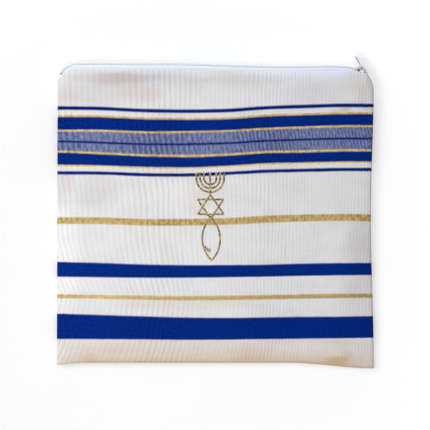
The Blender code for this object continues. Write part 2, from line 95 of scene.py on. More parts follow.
@dataclass(frozen=True)
class BagOutline:
    """The bag's edges, seen from above."""

    half_width: float = 145 * MM
    bottom_y: float = -134.1 * MM
    top_y: float = 133.5 * MM
    left_taper: float = 1.2 * MM
    right_waist: float = 2.7 * MM
    left_ear_depth: float = 1.7 * MM
    left_ear_length: float = 24 * MM
    right_ear_depth: float = 5.2 * MM
    right_ear_length: float = 78 * MM
    top_fall: float = 1.2 * MM
    top_fall_start: float = -60 * MM
    top_fall_length: float = 110 * MM
    slider_slope: float = 0.16
    slope_start: float = 120 * MM
    slope_ease: float = 8 * MM
    left_corner: CutCorner = CutCorner(run=15.5 * MM, drop=9.2 * MM, power=1.3)
    right_corner: CutCorner = CutCorner(run=7.8 * MM, drop=14 * MM, power=1.6)
    zip_start: float = -140 * MM
    zip_end: float = 139 * MM
    zip_close_length: float = 4 * MM
    normal_span: float = 4 * MM

    @property
    def length(self) -> float:
        """The panels' length, from the bottom edge to the top edge."""
        return self.top_y - self.bottom_y

    def share_up(self, y: Field) -> Field:
        """How far up the panel y lies, from 0 at the bottom to 1 at the top."""
        return np.clip((y - self.bottom_y) / self.length, 0.0, 1.0)

    def left(self, share: Field) -> Field:
        """The left edge's x."""
        return -self.half_width + self.left_taper * share

    def right(self, share: Field) -> Field:
        """The right edge's x."""
        return self.half_width - self.right_waist * np.sin(np.pi * share) ** 2

    def bottom(self, x: Field) -> Field:
        """The bottom edge's y, with the two corners that hang lower."""
        left = 1 - smooth((x - self.left(0.0)) / self.left_ear_length)
        right = 1 - smooth((self.right(0.0) - x) / self.right_ear_length)
        return self.bottom_y - self.left_ear_depth * left - self.right_ear_depth * right

    def top(self, x: Field) -> Field:
        """The panels' top edge: level, a gentle fall, a slope at the slider, two corners.

        Args:
            x: Places along the zip.

        Returns:
            The edge's y at each place.
        """
        fall = self.top_fall * smooth((x - self.top_fall_start) / self.top_fall_length)
        past = np.clip(x - self.slope_start, 0.0, None)
        eased = np.minimum(past, self.slope_ease)
        slope = self.slider_slope * (eased * eased / (2 * self.slope_ease) + past - eased)
        left = self.left_corner.cut(x - self.left(1.0))
        right = self.right_corner.cut(self.right(1.0) - x)
        return self.top_y - fall - slope - left - right

    def heading(self, x: Field) -> tuple[Field, Field]:
        """The top edge's direction at x, averaged over a short span.

        Args:
            x: Places along the zip.

        Returns:
            The direction's cosine and sine.
        """
        low = np.maximum(x - self.normal_span, self.left(1.0))
        high = np.minimum(x + self.normal_span, self.right(1.0))
        rise = self.top(high) - self.top(low)
        length = np.hypot(high - low, rise)
        return (high - low) / length, rise / length

    def sewn(self, x: Field) -> Field:
        """Where the top edge is sewn shut beside the zip.

        Args:
            x: Places along the top edge.

        Returns:
            1 where it is sewn shut, 0 along the zip.
        """
        half = self.zip_close_length / 2
        left = 1 - smooth((x - self.zip_start + half) / self.zip_close_length)
        right = smooth((x - self.zip_end + half) / self.zip_close_length)
        return np.maximum(left, right)

    def distances(self, x: Field, y: Field) -> tuple[Field, Field, Field, Field]:
        """Distances from the four edges.

        Args:
            x: Places across the bag.
            y: Places up the bag.

        Returns:
            The distances from the left, right, bottom and top edges.
        """
        share = self.share_up(y)
        slant = self.heading(x)[0]
        return (
            x - self.left(share),
            self.right(share) - x,
            y - self.bottom(x),
            (self.top(x) - y) * slant,
        )


@dataclass(frozen=True)
class Fold:
    """A soft crease, in millimetres: a ridge where height is positive, else a trough."""

    x: float
    y: float
    angle_deg: float
    length: float
    width: float
    height: float

    def lift(self, x: Field, y: Field) -> Field:
        """How far the crease lifts the cloth.

        Args:
            x: Places across the bag, in metres.
            y: Places up the bag, in metres.

        Returns:
            The lift at each place, in metres.
        """
        turn = math.radians(self.angle_deg)
        dx, dy = x / MM - self.x, y / MM - self.y
        along = (dx * math.cos(turn) + dy * math.sin(turn)) / self.length
        across = (dy * math.cos(turn) - dx * math.sin(turn)) / self.width
        return self.height * MM * np.exp(-along * along - across * across)


# Each fold: x, y, angle in degrees, length, width, height
FRAME_FOLDS = (
    Fold(-113, 107, -38, 30, 9, 0.9),
    Fold(-84, 117, -2, 48, 9, -0.9),
    Fold(38, 117, 1, 60, 8, -0.5),
    Fold(116, 103, 40, 28, 9, 0.8),
    Fold(-18, 70, -78, 52, 24, -0.9),
    Fold(60, 52, -84, 70, 26, 0.6),
    Fold(126, -26, 32, 24, 8, 0.7),
    Fold(128, -62, 24, 20, 8, 0.6),
    Fold(-124, -40, -18, 26, 10, -0.5),
    Fold(-96, -104, 36, 34, 11, 0.7),
    Fold(108, -124, 8, 14, 8, -1.1),
    Fold(24, -116, 2, 70, 12, 0.5),
)

# Small creases that only the dressed cloth has
FRONT_CREASES = (
    Fold(-128, 116, -52, 16, 4.5, 0.35),
    Fold(-118, 122, -20, 18, 3.5, -0.25),
    Fold(-60, 122, -1, 36, 3.2, 0.22),
    Fold(-128, 22, 72, 22, 6, -0.35),
    Fold(-134, 88, 80, 16, 5, 0.3),
    Fold(104, 118, 14, 20, 4, -0.3),
    Fold(128, 96, 64, 20, 5, -0.35),
    Fold(110, 90, 70, 12, 4, -0.3),
    Fold(132, -14, 38, 14, 4, -0.35),
    Fold(134, -36, 28, 16, 4, 0.3),
    Fold(130, -76, 20, 15, 4.5, -0.35),
    Fold(100, -116, 30, 16, 5, 0.4),
    Fold(122, -118, -24, 14, 5, 0.35),
    Fold(-130, -118, 34, 18, 5, 0.3),
    Fold(-62, -124, 8, 24, 5, -0.25),
    Fold(-40, 12, 86, 24, 9, -0.25),
    Fold(30, 10, -86, 24, 9, -0.25),
    Fold(-124, -42, 90, 62, 13, 0.9),
    Fold(119, -38, 90, 46, 14, 0.8),
    Fold(116, 95, 38, 11, 3.4, -0.45),
)
BACK_CREASES = (
    Fold(-96, 86, -34, 34, 8, 0.5),
    Fold(92, 92, 28, 38, 9, 0.5),
    Fold(-104, -82, 40, 36, 9, 0.45),
    Fold(100, -78, -36, 34, 9, 0.5),
    Fold(-20, 30, 82, 60, 11, 0.4),
    Fold(48, -30, -70, 46, 10, 0.35),
)


@dataclass(frozen=True)
class StarPucker:
    """Fine ripples beside the dense embroidery, which draws the cloth in."""

    x: float = -3.8
    y: float = 10.5
    beside: float = 24.0
    spread: float = 9.0
    reach: float = 17.0
    pitch: float = 5.6
    bend: float = 0.04
    height: float = 0.2

    def lift(self, x: Field, y: Field) -> Field:
        """How far the ripples lift the cloth.

        Args:
            x: Places across the bag, in metres.
            y: Places up the bag, in metres.

        Returns:
            The lift at each place, in metres.
        """
        dx, dy = x / MM - self.x, y / MM - self.y
        away = (np.abs(dx) - self.beside) / self.spread
        fade = np.exp(-away * away - (dy / self.reach) ** 2)
        bend = self.bend * np.abs(dx) * np.sign(dy)
        return self.height * MM * fade * np.sin(2 * math.pi * (dy - bend) / self.pitch)


@dataclass(frozen=True)
class SeamPucker:
    """Shallow, uneven waves that a seam's stitches leave along the cloth's edge."""

    pitch: float = 8.5
    height: float = 0.16
    start: float = 2.2
    fade: float = 5.5

    def lift(self, distance: Field, along: Field) -> Field:
        """How far the waves lift the cloth.

        Args:
            distance: Distance from the seam, in metres.
            along: Place along the seam, in metres.

        Returns:
            The lift at each place, in metres.
        """
        d = np.clip(distance / MM, 0.0, None)
        u = along / MM
        swing = np.sin(2 * math.pi * u / self.pitch + 1.7 * np.sin(u / 23.0))
        swing = swing + 0.6 * np.sin(2 * math.pi * u / (1.71 * self.pitch) + 0.9)
        strength = (1 - np.exp(-((d / self.start) ** 2))) * np.exp(-d / self.fade)
        return self.height * MM * strength * swing


@dataclass(frozen=True)
class BagForm:
    """Heights of the bag's faces, and the line that its zip follows."""

    outline: BagOutline = BagOutline()
    gap: float = 0.3 * MM
    cloth: float = 1.2 * MM
    zip_mid: float = 5.2 * MM
    low_seam: float = 3.0 * MM
    seam_rise_share: float = 0.93
    edge_roll: float = 3.0 * MM
    shoulder: float = 2.6 * MM
    zip_lift: float = 2.45 * MM
    lift_flat: float = 4 * MM
    lift_fade: float = 13 * MM
    lift_ease: float = 10 * MM
    belly: float = 5.6 * MM
    belly_power: float = 3
    back_lift: float = 0.9 * MM
    back_lift_reach: float = 14 * MM
    fold_edge: float = 7 * MM
    tape_gap: float = 0.37 * MM
    chain_stack: float = 1.5 * MM
    seam_share: float = 0.2
    sewn_lift: float = 0.35 * MM
    sewn_lift_flat: float = 3 * MM
    sewn_lift_fade: float = 6 * MM
    front_fade: float = 4 * MM
    back_fade: float = 6 * MM
    bend_limit: float = 0.95
    reach_x: Numbers = (
        -140, -136, -129, -110, -70, -24, 22, 68, 104, 117, 124.5, 129.5, 139
    )
    reach_out: Numbers = (
        2.8, 4.8, 6.2, 6.7, 6.1, 6.3, 5.4, 4.8, 5.5, 5.0, 4.2, 2.82, 2.6
    )
    star_pucker: StarPucker = StarPucker()
    seam_pucker: SeamPucker = SeamPucker()

    def seam_height(self, y: Field) -> Field:
        """The height of the side seams."""
        rise = smooth(self.outline.share_up(y) / self.seam_rise_share)
        return self.low_seam + (self.zip_mid - self.low_seam) * rise

    def roll(self, x: Field, y: Field, inset: float) -> Field:
        """0 on the seam line and 1 past the roll.

        Args:
            x: Places across the bag.
            y: Places up the bag.
            inset: Depth below the outer face.

        Returns:
            The share of the shoulder's height at each place.
        """
        left, right, bottom, top = self.outline.distances(x, y)
        radius = self.edge_roll - inset
        sewn = self.outline.sewn(x)
        top_roll = rolled(top - inset * sewn, self.edge_roll - inset * sewn)
        sides = rolled(left - inset, radius) * rolled(right - inset, radius)
        return sides * rolled(bottom - inset, radius) * (1 - sewn * (1 - top_roll))

    def nearest(self, x: Field, y: Field) -> Field:
        """The distance to the nearest edge, not below 0."""
        left, right, bottom, top = self.outline.distances(x, y)
        return np.clip(np.minimum(np.minimum(left, right), np.minimum(bottom, top)), 0, None)

    def belly_height(self, x: Field, y: Field) -> Field:
        """The slack cloth's low dome, with full sides.

        Args:
            x: Places across the bag.
            y: Places up the bag.

        Returns:
            The dome's height at each place.
        """
        left, right, bottom, top = self.outline.distances(x, y)
        across = np.clip(np.minimum(left, right) / self.outline.half_width, 0.0, 1.0)
        along = np.clip(np.minimum(bottom, top) / (self.outline.length / 2), 0.0, 1.0)
        full = 1 - (1 - across) ** self.belly_power
        return self.belly * full * (1 - (1 - along) ** self.belly_power)

    def front_open(self, x: Field, y: Field, inset: float) -> Field:
        """The front panel's height where nothing bends it round the zip.

        Args:
            x: Places across the bag.
            y: Places up the bag.
            inset: Depth below the outer face.

        Returns:
            The height at each place.
        """
        left, right, _, top = self.outline.distances(x, y)
        sides = smooth(left / self.lift_ease) * smooth(right / self.lift_ease)
        lift = self.zip_lift * sides * (1 - smooth((top - self.lift_flat) / self.lift_fade))
        folds = sum(fold.lift(x, y) for fold in FRAME_FOLDS)
        folds = folds * (1 - np.exp(-((self.nearest(x, y) / self.fold_edge) ** 2)))
        shell = self.seam_height(y) + self.seam_share * self.gap / 2
        shell = shell + (self.shoulder - inset) * self.roll(x, y, inset)
        return shell + lift + self.belly_height(x, y) + folds

    def back_open(self, x: Field, y: Field, inset: float) -> Field:
        """The back panel's height: flat on the ground, lifting a little to its seam.

        Args:
            x: Places across the bag.
            y: Places up the bag.
            inset: Depth below the outer face.

        Returns:
            The height at each place.
        """
        left, right, bottom, _ = self.outline.distances(x, y)
        nearest = np.minimum(np.minimum(left, right), bottom)
        lift = self.back_lift * (1 - smooth(nearest / self.back_lift_reach))
        rim = self.seam_height(y) - self.seam_share * self.gap / 2
        return inset + lift + (rim - inset - lift) * (1 - self.roll(x, y, inset))

    def crown(self, x: Field) -> Field:
        """How far past the panel's top edge the tape's outer face reaches."""
        reach = np.interp(x / MM, self.reach_x, self.reach_out) * MM
        return reach - self.chain_stack

    def tape_radius(self, x: Field) -> Field:
        """The bend that the two tapes make, as the panels leave room.

        Args:
            x: Places along the zip.

        Returns:
            The bend's outer radius at each place.
        """
        y = self.outline.top(x)
        over = self.front_open(x, y, self.cloth) - self.zip_mid
        under = self.zip_mid - self.back_open(x, y, self.cloth)
        return np.minimum(over, under) - self.tape_gap

    def bend(self, x: Field, y: Field, inset: float) -> Field:
        """How far a panel's free edge bends towards the zip's middle, over the tape.

        Args:
            x: Places across the bag.
            y: Places up the bag.
            inset: Depth below the outer face.

        Returns:
            The drop at each place.
        """
        top = self.outline.distances(x, y)[3]
        radius = self.tape_radius(x)
        outer = radius + self.gap + self.cloth - inset
        past = np.clip(radius - self.crown(x) - top, 0.0, self.bend_limit * outer)
        return (1 - self.outline.sewn(x)) * (outer - np.sqrt(outer * outer - past * past))

    def front_detail(self, x: Field, y: Field) -> Field:
        """Small creases, puckers and slack of the front cloth, none of them at its edge.

        Args:
            x: Places across the bag.
            y: Places up the bag.

        Returns:
            The lift at each place.
        """
        left, right, bottom, top = self.outline.distances(x, y)
        inner = 1 - np.exp(-((self.nearest(x, y) / self.front_fade) ** 2))
        creases = sum(fold.lift(x, y) for fold in FRONT_CREASES)
        u, v = x / MM, y / MM
        slack = 0.10 * np.sin(u / 21 + 0.8 * np.sin(v / 37)) * np.sin(v / 29 + 0.5)
        slack = slack + 0.06 * np.sin(u / 11.5 + v / 46 + 1.1) * np.sin(v / 17 - u / 60)
        pucker = self.seam_pucker.lift(left, y) + self.seam_pucker.lift(right, y + 31 * MM)
        pucker = pucker + self.seam_pucker.lift(bottom, x)
        pucker = pucker + 0.5 * self.seam_pucker.lift(top, x + 17 * MM)
        return (creases + slack * MM + self.star_pucker.lift(x, y)) * inner + pucker

    def back_detail(self, x: Field, y: Field) -> Field:
        """Creases that stand up off the ground, and the seams' puckers.

        Args:
            x: Places across the bag.
            y: Places up the bag.

        Returns:
            The lift at each place.
        """
        left, right, bottom, top = self.outline.distances(x, y)
        inner = 1 - np.exp(-((self.nearest(x, y) / self.back_fade) ** 2))
        creases = sum(fold.lift(x, y) for fold in BACK_CREASES)
        pucker = self.seam_pucker.lift(left, y) + self.seam_pucker.lift(right, y + 31 * MM)
        pucker = 0.6 * (pucker + self.seam_pucker.lift(bottom, x))
        sides = smooth(left / self.lift_ease) * smooth(right / self.lift_ease)
        up = 1 - smooth((top - self.sewn_lift_flat) / self.sewn_lift_fade)
        return creases * inner + pucker + self.sewn_lift * sides * up

    def face(
        self, side: int, x: Field, y: Field, inset: float = 0.0, dressed: bool = True
    ) -> Field:
        """A panel's height.

        Args:
            side: 1 for the front panel, -1 for the back.
            x: Places across the bag.
            y: Places up the bag.
            inset: Depth below the outer face.
            dressed: Whether the dressed cloth's small creases are on it.

        Returns:
            The height at each place.
        """
        if side > 0:
            height = self.front_open(x, y, inset) - self.bend(x, y, inset)
            return height + self.front_detail(x, y) if dressed else height
        height = self.back_open(x, y, inset) + self.bend(x, y, self.cloth - inset)
        return np.maximum(height + self.back_detail(x, y), inset) if dressed else height

    def zip_frame(self, x: Field) -> tuple[Field, Field]:
        """The panels' top edge at the zip's middle height, and the way out of it.

        Args:
            x: Places along the zip.

        Returns:
            Points, and unit directions out of the edge, both of them N by 3.
        """
        x = np.atleast_1d(np.asarray(x, dtype=float))
        cosine, sine = self.outline.heading(x)
        level = np.full_like(x, self.zip_mid)
        points = np.stack([x, self.outline.top(x), level], axis=-1)
        return points, np.stack([-sine, cosine, np.zeros_like(x)], axis=-1)


# How the cloth's threads lie on the bag


@dataclass(frozen=True)
class BowLine:
    """A straight thread of the loom, and how far it is pushed up at each station (mm)."""

    place: float
    pushed: Numbers


@dataclass(frozen=True)
class WeaveLay:
    """Finds where each point of the bag was on the loom, in millimetres."""

    stations: Numbers = (-141.5, -105, -64, -23, 13.5, 45.4, 77.3, 113.8, 139.4)
    lines: tuple[BowLine, ...] = (
        BowLine(-113.2, (0.0, 0.1, -0.1, -0.5, -0.1, 0.3, 0.7, 1.0, 1.3)),
        BowLine(-89.5, (0.3, -0.7, -2.0, -3.2, -3.5, -2.9, -2.5, -2.5, -2.0)),
        BowLine(-74.0, (-0.1, -0.2, -1.1, -1.5, -1.2, -0.6, 0.0, 0.6, 0.4)),
        BowLine(-56.2, (0.1, -0.2, -0.6, -0.4, 0.1, 0.5, 1.3, 1.7, 1.8)),
        BowLine(-41.8, (0.2, -0.6, -2.1, -2.7, -2.6, -2.3, -1.3, -0.8, -0.8)),
        BowLine(-4.0, (-0.3, -0.4, -2.0, -1.8, -1.0, 1.0, 2.1, 2.7, 2.2)),
        BowLine(38.9, (-0.1, -0.2, -2.0, -2.2, -0.5, 1.3, 2.0, 3.0, 2.9)),
        BowLine(46.6, (-0.3, -0.8, -2.4, -2.8, -1.1, 1.1, 1.8, 2.8, 2.8)),
        BowLine(56.9, (0.2, -1.7, -3.7, -4.7, -3.1, -0.6, -0.5, 1.0, 0.9)),
        BowLine(67.3, (0.2, -1.1, -2.9, -2.7, -1.8, 0.4, 1.4, 2.7, 2.5)),
        BowLine(78.2, (-0.2, -0.3, -2.0, -1.6, -0.7, 1.4, 2.5, 4.0, 4.0)),
        BowLine(90.2, (-0.1, -0.3, -2.6, -3.0, -2.5, 0.1, 1.1, 2.3, 2.5)),
        BowLine(98.2, (-0.2, -0.8, -3.0, -3.5, -2.9, -0.2, 0.8, 2.1, 2.0)),
    )
    soften: float = 9.0
    fan_y: Numbers = (-134, -112, -90, -72, -45, -22, 20, 45, 80, 134)
    fan_left: Numbers = (-12, -21, -28, -31, -20, -14, -11, -7, -1.5, 0)
    fan_right: Numbers = (9.5, 7.5, 5.5, 4, 1, -2, -3.5, -4, 3, 0)
    fan_width: float = 290.0

    def pushed(self, x: Field, place: Field) -> Field:
        """How far the threads at a place of the loom are pushed up.

        Args:
            x: Places across the bag.
            place: Places up the loom.

        Returns:
            The push at each place.
        """
        rows = []
        for line in self.lines:
            shifts = (-self.soften, 0.0, self.soften)
            rows.append(sum(np.interp(x + s, self.stations, line.pushed) for s in shifts) / 3)
        values = np.stack(rows)
        places = np.array([line.place for line in self.lines])
        low = np.clip(np.searchsorted(places, place) - 1, 0, len(places) - 2)
        share = np.clip((place - places[low]) / (places[low + 1] - places[low]), 0.0, 1.0)
        flat = np.arange(values.shape[1])
        return values[low, flat] * (1 - share) + values[low + 1, flat] * share

    def loom(self, x: Field, y: Field) -> tuple[Field, Field]:
        """The loom's coordinates of points on the bag.

        Args:
            x: Places across the bag, in metres.
            y: Places up the bag, in metres.

        Returns:
            Places across and up the loom, in millimetres.
        """
        u, v = np.ravel(x) / MM, np.ravel(y) / MM
        place = v
        for _ in range(5):
            place = v - self.pushed(u, place)
        right = smooth(u / self.fan_width + 0.5)
        fan = (1 - right) * np.interp(v, self.fan_y, self.fan_left)
        fan = fan + right * np.interp(v, self.fan_y, self.fan_right)
        return u + fan, place


# Meshes


@dataclass
class MeshDraft:
    """Points and faces that become one mesh."""

    verts: list[Numbers] = field(default_factory=list)
    faces: list[list[int]] = field(default_factory=list)

    def add(self, verts: list[Numbers], faces: list[list[int]]) -> None:
        """Adds a closed shell."""
        start = len(self.verts)
        self.verts += [tuple(map(float, v)) for v in verts]
        self.faces += [[start + i for i in face] for face in faces]

    def add_rings(self, rings: Field) -> None:
        """Adds a closed bar through equal rings of points, with flat ends.

        Args:
            rings: Rings by points by 3.
        """
        rings = np.asarray(rings)
        count, size = rings.shape[:2]
        faces = []
        for i in range(count - 1):
            for j in range(size):
                k = (j + 1) % size
                faces.append([i * size + j, i * size + k, (i + 1) * size + k, (i + 1) * size + j])
        faces.append(list(range(size)))
        faces.append([(count - 1) * size + j for j in range(size)])
        self.add([tuple(p) for p in rings.reshape(-1, 3)], faces)

    def build(self, name: str, material: Material, place: Matrix | None = None) -> Object:
        """Makes the object, with its faces pointing out and its place in its mesh.

        Args:
            name: The piece's name.
            material: The piece's material.
            place: Where the draft's own axes go.

        Returns:
            The new object.
        """
        mesh = bpy.data.meshes.new(name)
        mesh.from_pydata(self.verts, [], self.faces)
        if place is not None:
            mesh.transform(place)
        bm = bmesh.new()
        bm.from_mesh(mesh)
        bmesh.ops.recalc_face_normals(bm, faces=bm.faces)
        if bm.calc_volume(signed=True) < 0:
            bmesh.ops.reverse_faces(bm, faces=bm.faces)
        bm.to_mesh(mesh)
        bm.free()
        return new_piece(name, mesh, material)


def new_piece(name: str, mesh: Mesh, material: Material | None) -> Object:
    """Links a mesh into the scene as a piece.

    Args:
        name: The piece's name.
        mesh: Its mesh.
        material: Its material, or None where the mesh has one.

    Returns:
        The new object.
    """
    piece = bpy.data.objects.new(name, mesh)
    if material is not None:
        mesh.materials.clear()
        mesh.materials.append(material)
    bpy.context.scene.collection.objects.link(piece)
    return piece


def round_shading(piece: Object, angle_deg: float = 40.0) -> Object:
    """Smooth shading, apart from edges sharper than an angle."""
    piece.data.shade_smooth()
    piece.data.set_sharp_from_angle(angle=math.radians(angle_deg))
    return piece


def baked(piece: Object, name: str) -> Object:
    """The piece as its modifiers leave it, as a plain mesh.

    Args:
        piece: An object with modifiers, which is removed.
        name: The plain piece's name.

    Returns:
        The new object.
    """
    bpy.context.view_layer.update()
    graph = bpy.context.evaluated_depsgraph_get()
    mesh = bpy.data.meshes.new_from_object(piece.evaluated_get(graph), depsgraph=graph)
    bpy.data.objects.remove(piece)
    mesh.name = name
    return new_piece(name, mesh, None)


def report(piece: Object) -> None:
    """Logs what a finished piece holds."""
    log.info("%s: %d faces", piece.name, len(piece.data.polygons))


# Node trees


class NodeBench:
    """Adds nodes to a tree and wires them up."""

    def __init__(self, tree: NodeTree) -> None:
        """Takes the tree to work on."""
        self.tree = tree

    def feed(self, socket: Socket, value: object) -> None:
        """Links a socket to a socket, or sets its value.

        Args:
            socket: The socket that is fed.
            value: A socket or a value.
        """
        if isinstance(value, Socket):
            self.tree.links.new(value, socket)
        else:
            socket.default_value = value

    def give(self, node: Node, inputs: dict) -> None:
        """Feeds a node's inputs, by name or number."""
        for key, value in inputs.items():
            self.feed(node.inputs[key], value)

    def add(self, kind: str, inputs: dict | None = None, **settings: object) -> Node:
        """Adds a node.

        Args:
            kind: The node's type.
            inputs: Values or sockets for its inputs, by name or number.
            **settings: The node's own properties, which are set first.

        Returns:
            The new node.
        """
        node = self.tree.nodes.new(kind)
        for name, value in settings.items():
            setattr(node, name, value)
        self.give(node, inputs or {})
        return node

    def group(self, tree: NodeTree, inputs: dict) -> bpy.types.bpy_prop_collection:
        """A node group's outputs, by name or number."""
        return self.add("ShaderNodeGroup", inputs, node_tree=tree).outputs

    def math(self, operation: str, *values: object) -> Socket:
        """One step of arithmetic."""
        node = self.add("ShaderNodeMath", dict(enumerate(values)), operation=operation)
        return node.outputs[0]

    def mul(self, first: object, second: object) -> Socket:
        """One value times another."""
        return self.math("MULTIPLY", first, second)

    def mul_add(self, first: object, second: object, third: object) -> Socket:
        """One value times another, plus a third."""
        return self.math("MULTIPLY_ADD", first, second, third)

    def plus(self, first: object, second: object) -> Socket:
        """One value plus another."""
        return self.math("ADD", first, second)

    def sub(self, first: object, second: object) -> Socket:
        """One value less another."""
        return self.math("SUBTRACT", first, second)

    def vectors(self, operation: str, inputs: dict) -> Socket:
        """One step of vector arithmetic."""
        return self.add("ShaderNodeVectorMath", inputs, operation=operation).outputs[0]

    def attribute(self, name: str, kind: str) -> Socket:
        """A named attribute of the geometry."""
        return self.add("GeometryNodeInputNamedAttribute", {0: name}, data_type=kind).outputs[0]

    def bump(self, shader: Node, height: Socket) -> None:
        """Gives a shader its relief, from a height in millimetres."""
        bump = self.add("ShaderNodeBump", {"Strength": 1.0, "Distance": MM, "Height": height})
        self.feed(shader.inputs["Normal"], bump.outputs[0])

    def span(
        self, value: object, low: float, high: float, to_low: float, to_high: float
    ) -> Socket:
        """Maps a value from one range to another, and holds it there."""
        inputs = dict(enumerate((value, low, high, to_low, to_high)))
        return self.add("ShaderNodeMapRange", inputs, clamp=True).outputs[0]

    def blend(self, share: object, first: object, second: object, how: str = "MIX") -> Socket:
        """Two colours mixed, by the share of the second colour that shows."""
        inputs = {0: share, 6: first, 7: second}
        return self.add("ShaderNodeMix", inputs, data_type="RGBA", blend_type=how).outputs[2]

    def vector(self, x: object = 0.0, y: object = 0.0, z: object = 0.0) -> Socket:
        """A vector from its three parts."""
        return self.add("ShaderNodeCombineXYZ", {0: x, 1: y, 2: z}).outputs[0]

    def noise(self, vector: Socket, scale: float, detail: float = 2.0) -> Socket:
        """Soft noise round 0.5."""
        inputs = {"Vector": vector, "Scale": scale, "Detail": detail}
        return self.add("ShaderNodeTexNoise", inputs).outputs[0]

    def wave(self, turns: Socket) -> Socket:
        """A cosine of a number of turns, from 0 to 1."""
        return self.mul_add(self.math("COSINE", self.mul(turns, 2 * math.pi)), 0.5, 0.5)


def new_group(
    name: str, tree_type: str, inputs: dict[str, str], outputs: dict[str, str]
) -> tuple[NodeBench, Node, Node]:
    """Makes a node group with named sockets.

    Args:
        name: The group's name.
        tree_type: The kind of tree.
        inputs: The kind of each input, by name.
        outputs: The kind of each output, by name.

    Returns:
        A bench on the tree, its input node and its output node.
    """
    tree = bpy.data.node_groups.new(name, tree_type)
    for in_out, kinds in (("INPUT", inputs), ("OUTPUT", outputs)):
        for key, kind in kinds.items():
            tree.interface.new_socket(key, in_out=in_out, socket_type="NodeSocket" + kind)
    bench = NodeBench(tree)
    return bench, bench.add("NodeGroupInput"), bench.add("NodeGroupOutput")


@dataclass(frozen=True)
class SharedEffects:
    """Shader groups that more than one finish uses."""

    weave: NodeTree
    mottle: NodeTree
    twist: NodeTree


def weave_group() -> NodeTree:
    """A plain weave: the threads' relief, and the shade between them.

    Returns:
        The group, whose inputs are places on the loom in millimetres.
    """
    sizes = ("Across", "Along", "Warp Pitch", "Weft Pitch", "Wobble")
    inputs = dict.fromkeys(sizes, "Float")
    outputs = dict.fromkeys(("Shade", "Height"), "Float")
    bench, given, result = new_group("plain_weave", "ShaderNodeTree", inputs, outputs)
    across, along, warp_pitch, weft_pitch, wobble = (given.outputs[size] for size in sizes)
    drift = bench.sub(bench.noise(bench.vector(across, along), 0.9, 1.0), 0.5)
    drift = bench.mul(drift, wobble)
    warp = bench.wave(bench.math("DIVIDE", bench.plus(across, drift), warp_pitch))
    weft = bench.wave(bench.math("DIVIDE", bench.plus(along, drift), weft_pitch))
    under = bench.mul(bench.sub(1.0, warp), bench.sub(1.0, weft))
    height = bench.plus(bench.mul(warp, weft), under)
    bench.give(result, {"Height": height, "Shade": bench.span(height, 0.0, 0.6, 0.0, 1.0)})
    return bench.tree


def grain_group(name: str, detail: float) -> NodeTree:
    """Soft unevenness on the piece's own place, as shade and as relief.

    Args:
        name: The group's name.
        detail: How fine the grains' own unevenness is.

    Returns:
        The group, whose shade and height lie round 0.5.
    """
    inputs = dict.fromkeys(("Size mm", "Contrast"), "Float")
    outputs = dict.fromkeys(("Shade", "Height"), "Float")
    bench, given, result = new_group(name, "ShaderNodeTree", inputs, outputs)
    place = bench.add("ShaderNodeTexCoord").outputs["Object"]
    scale = bench.math("DIVIDE", 1000.0, given.outputs["Size mm"])
    grain = bench.noise(bench.vectors("SCALE", {0: place, "Scale": scale}), 1.0, detail)
    shade = bench.mul_add(bench.sub(grain, 0.5), given.outputs["Contrast"], 0.5)
    bench.give(result, {"Shade": shade, "Height": grain})
    return bench.tree


def new_material(name: str) -> tuple[Material, NodeBench, Node]:
    """A material with its Principled shader.

    Args:
        name: The material's name.

    Returns:
        The material, a bench on its tree, and the shader.
    """
    material = bpy.data.materials.new(name)
    material.use_nodes = True
    return material, NodeBench(material.node_tree), material.node_tree.nodes["Principled BSDF"]


LOOM_SPAN = 320.0


def write_loom(mesh: Mesh, across: Field, along: Field) -> None:
    """Writes each point's place on the loom into a mesh's UV map.

    Args:
        mesh: The mesh.
        across: Each point's place across the loom, in millimetres.
        along: Its place up the loom.
    """
    places = np.stack([across, along], axis=-1) / LOOM_SPAN + 0.5
    corner = np.empty(len(mesh.loops), dtype=np.int64)
    mesh.loops.foreach_get("vertex_index", corner)
    mesh.uv_layers.new(name="loom").data.foreach_set("uv", places[corner].ravel())


def loom_sockets(bench: NodeBench) -> tuple[Socket, Socket]:
    """Places on the loom, in millimetres, from a piece's own UV map.

    Args:
        bench: The material's bench.

    Returns:
        The places across and along the loom.
    """
    uv = bench.add("ShaderNodeUVMap", uv_map="loom").outputs[0]
    parts = bench.add("ShaderNodeSeparateXYZ", {0: uv}).outputs
    across = bench.mul_add(parts[0], LOOM_SPAN, -LOOM_SPAN / 2)
    along = bench.mul_add(parts[1], LOOM_SPAN, -LOOM_SPAN / 2)
    return across, along


# Finishes


class Yarn(Enum):
    """A yarn of the shawl cloth."""

    WHITE = "white"
    BLUE = "blue"
    NAVY = "navy"
    PALE = "pale"
    GOLD = "gold"
    THIN_GOLD = "thin gold"


@dataclass(frozen=True)
class Stripe:
    """A band of one yarn, between two places up the loom in millimetres."""

    low: float
    high: float
    yarn: Yarn


STRIPES = (
    Stripe(-112.2, -89.1, Yarn.BLUE),
    Stripe(-74.8, -71.4, Yarn.GOLD),
    Stripe(-55.4, -41.8, Yarn.BLUE),
    Stripe(-6.6, -0.7, Yarn.GOLD),
    Stripe(38.0, 41.2, Yarn.NAVY),
    Stripe(45.7, 47.2, Yarn.THIN_GOLD),
    Stripe(47.2, 58.0, Yarn.BLUE),
    Stripe(58.0, 59.65, Yarn.THIN_GOLD),
    Stripe(59.65, 67.2, Yarn.PALE),
    Stripe(67.0, 69.05, Yarn.NAVY),
    Stripe(68.85, 77.35, Yarn.PALE),
    Stripe(77.35, 78.95, Yarn.THIN_GOLD),
    Stripe(78.95, 90.6, Yarn.BLUE),
    Stripe(90.6, 92.5, Yarn.THIN_GOLD),
    Stripe(97.1, 100.5, Yarn.NAVY),
)

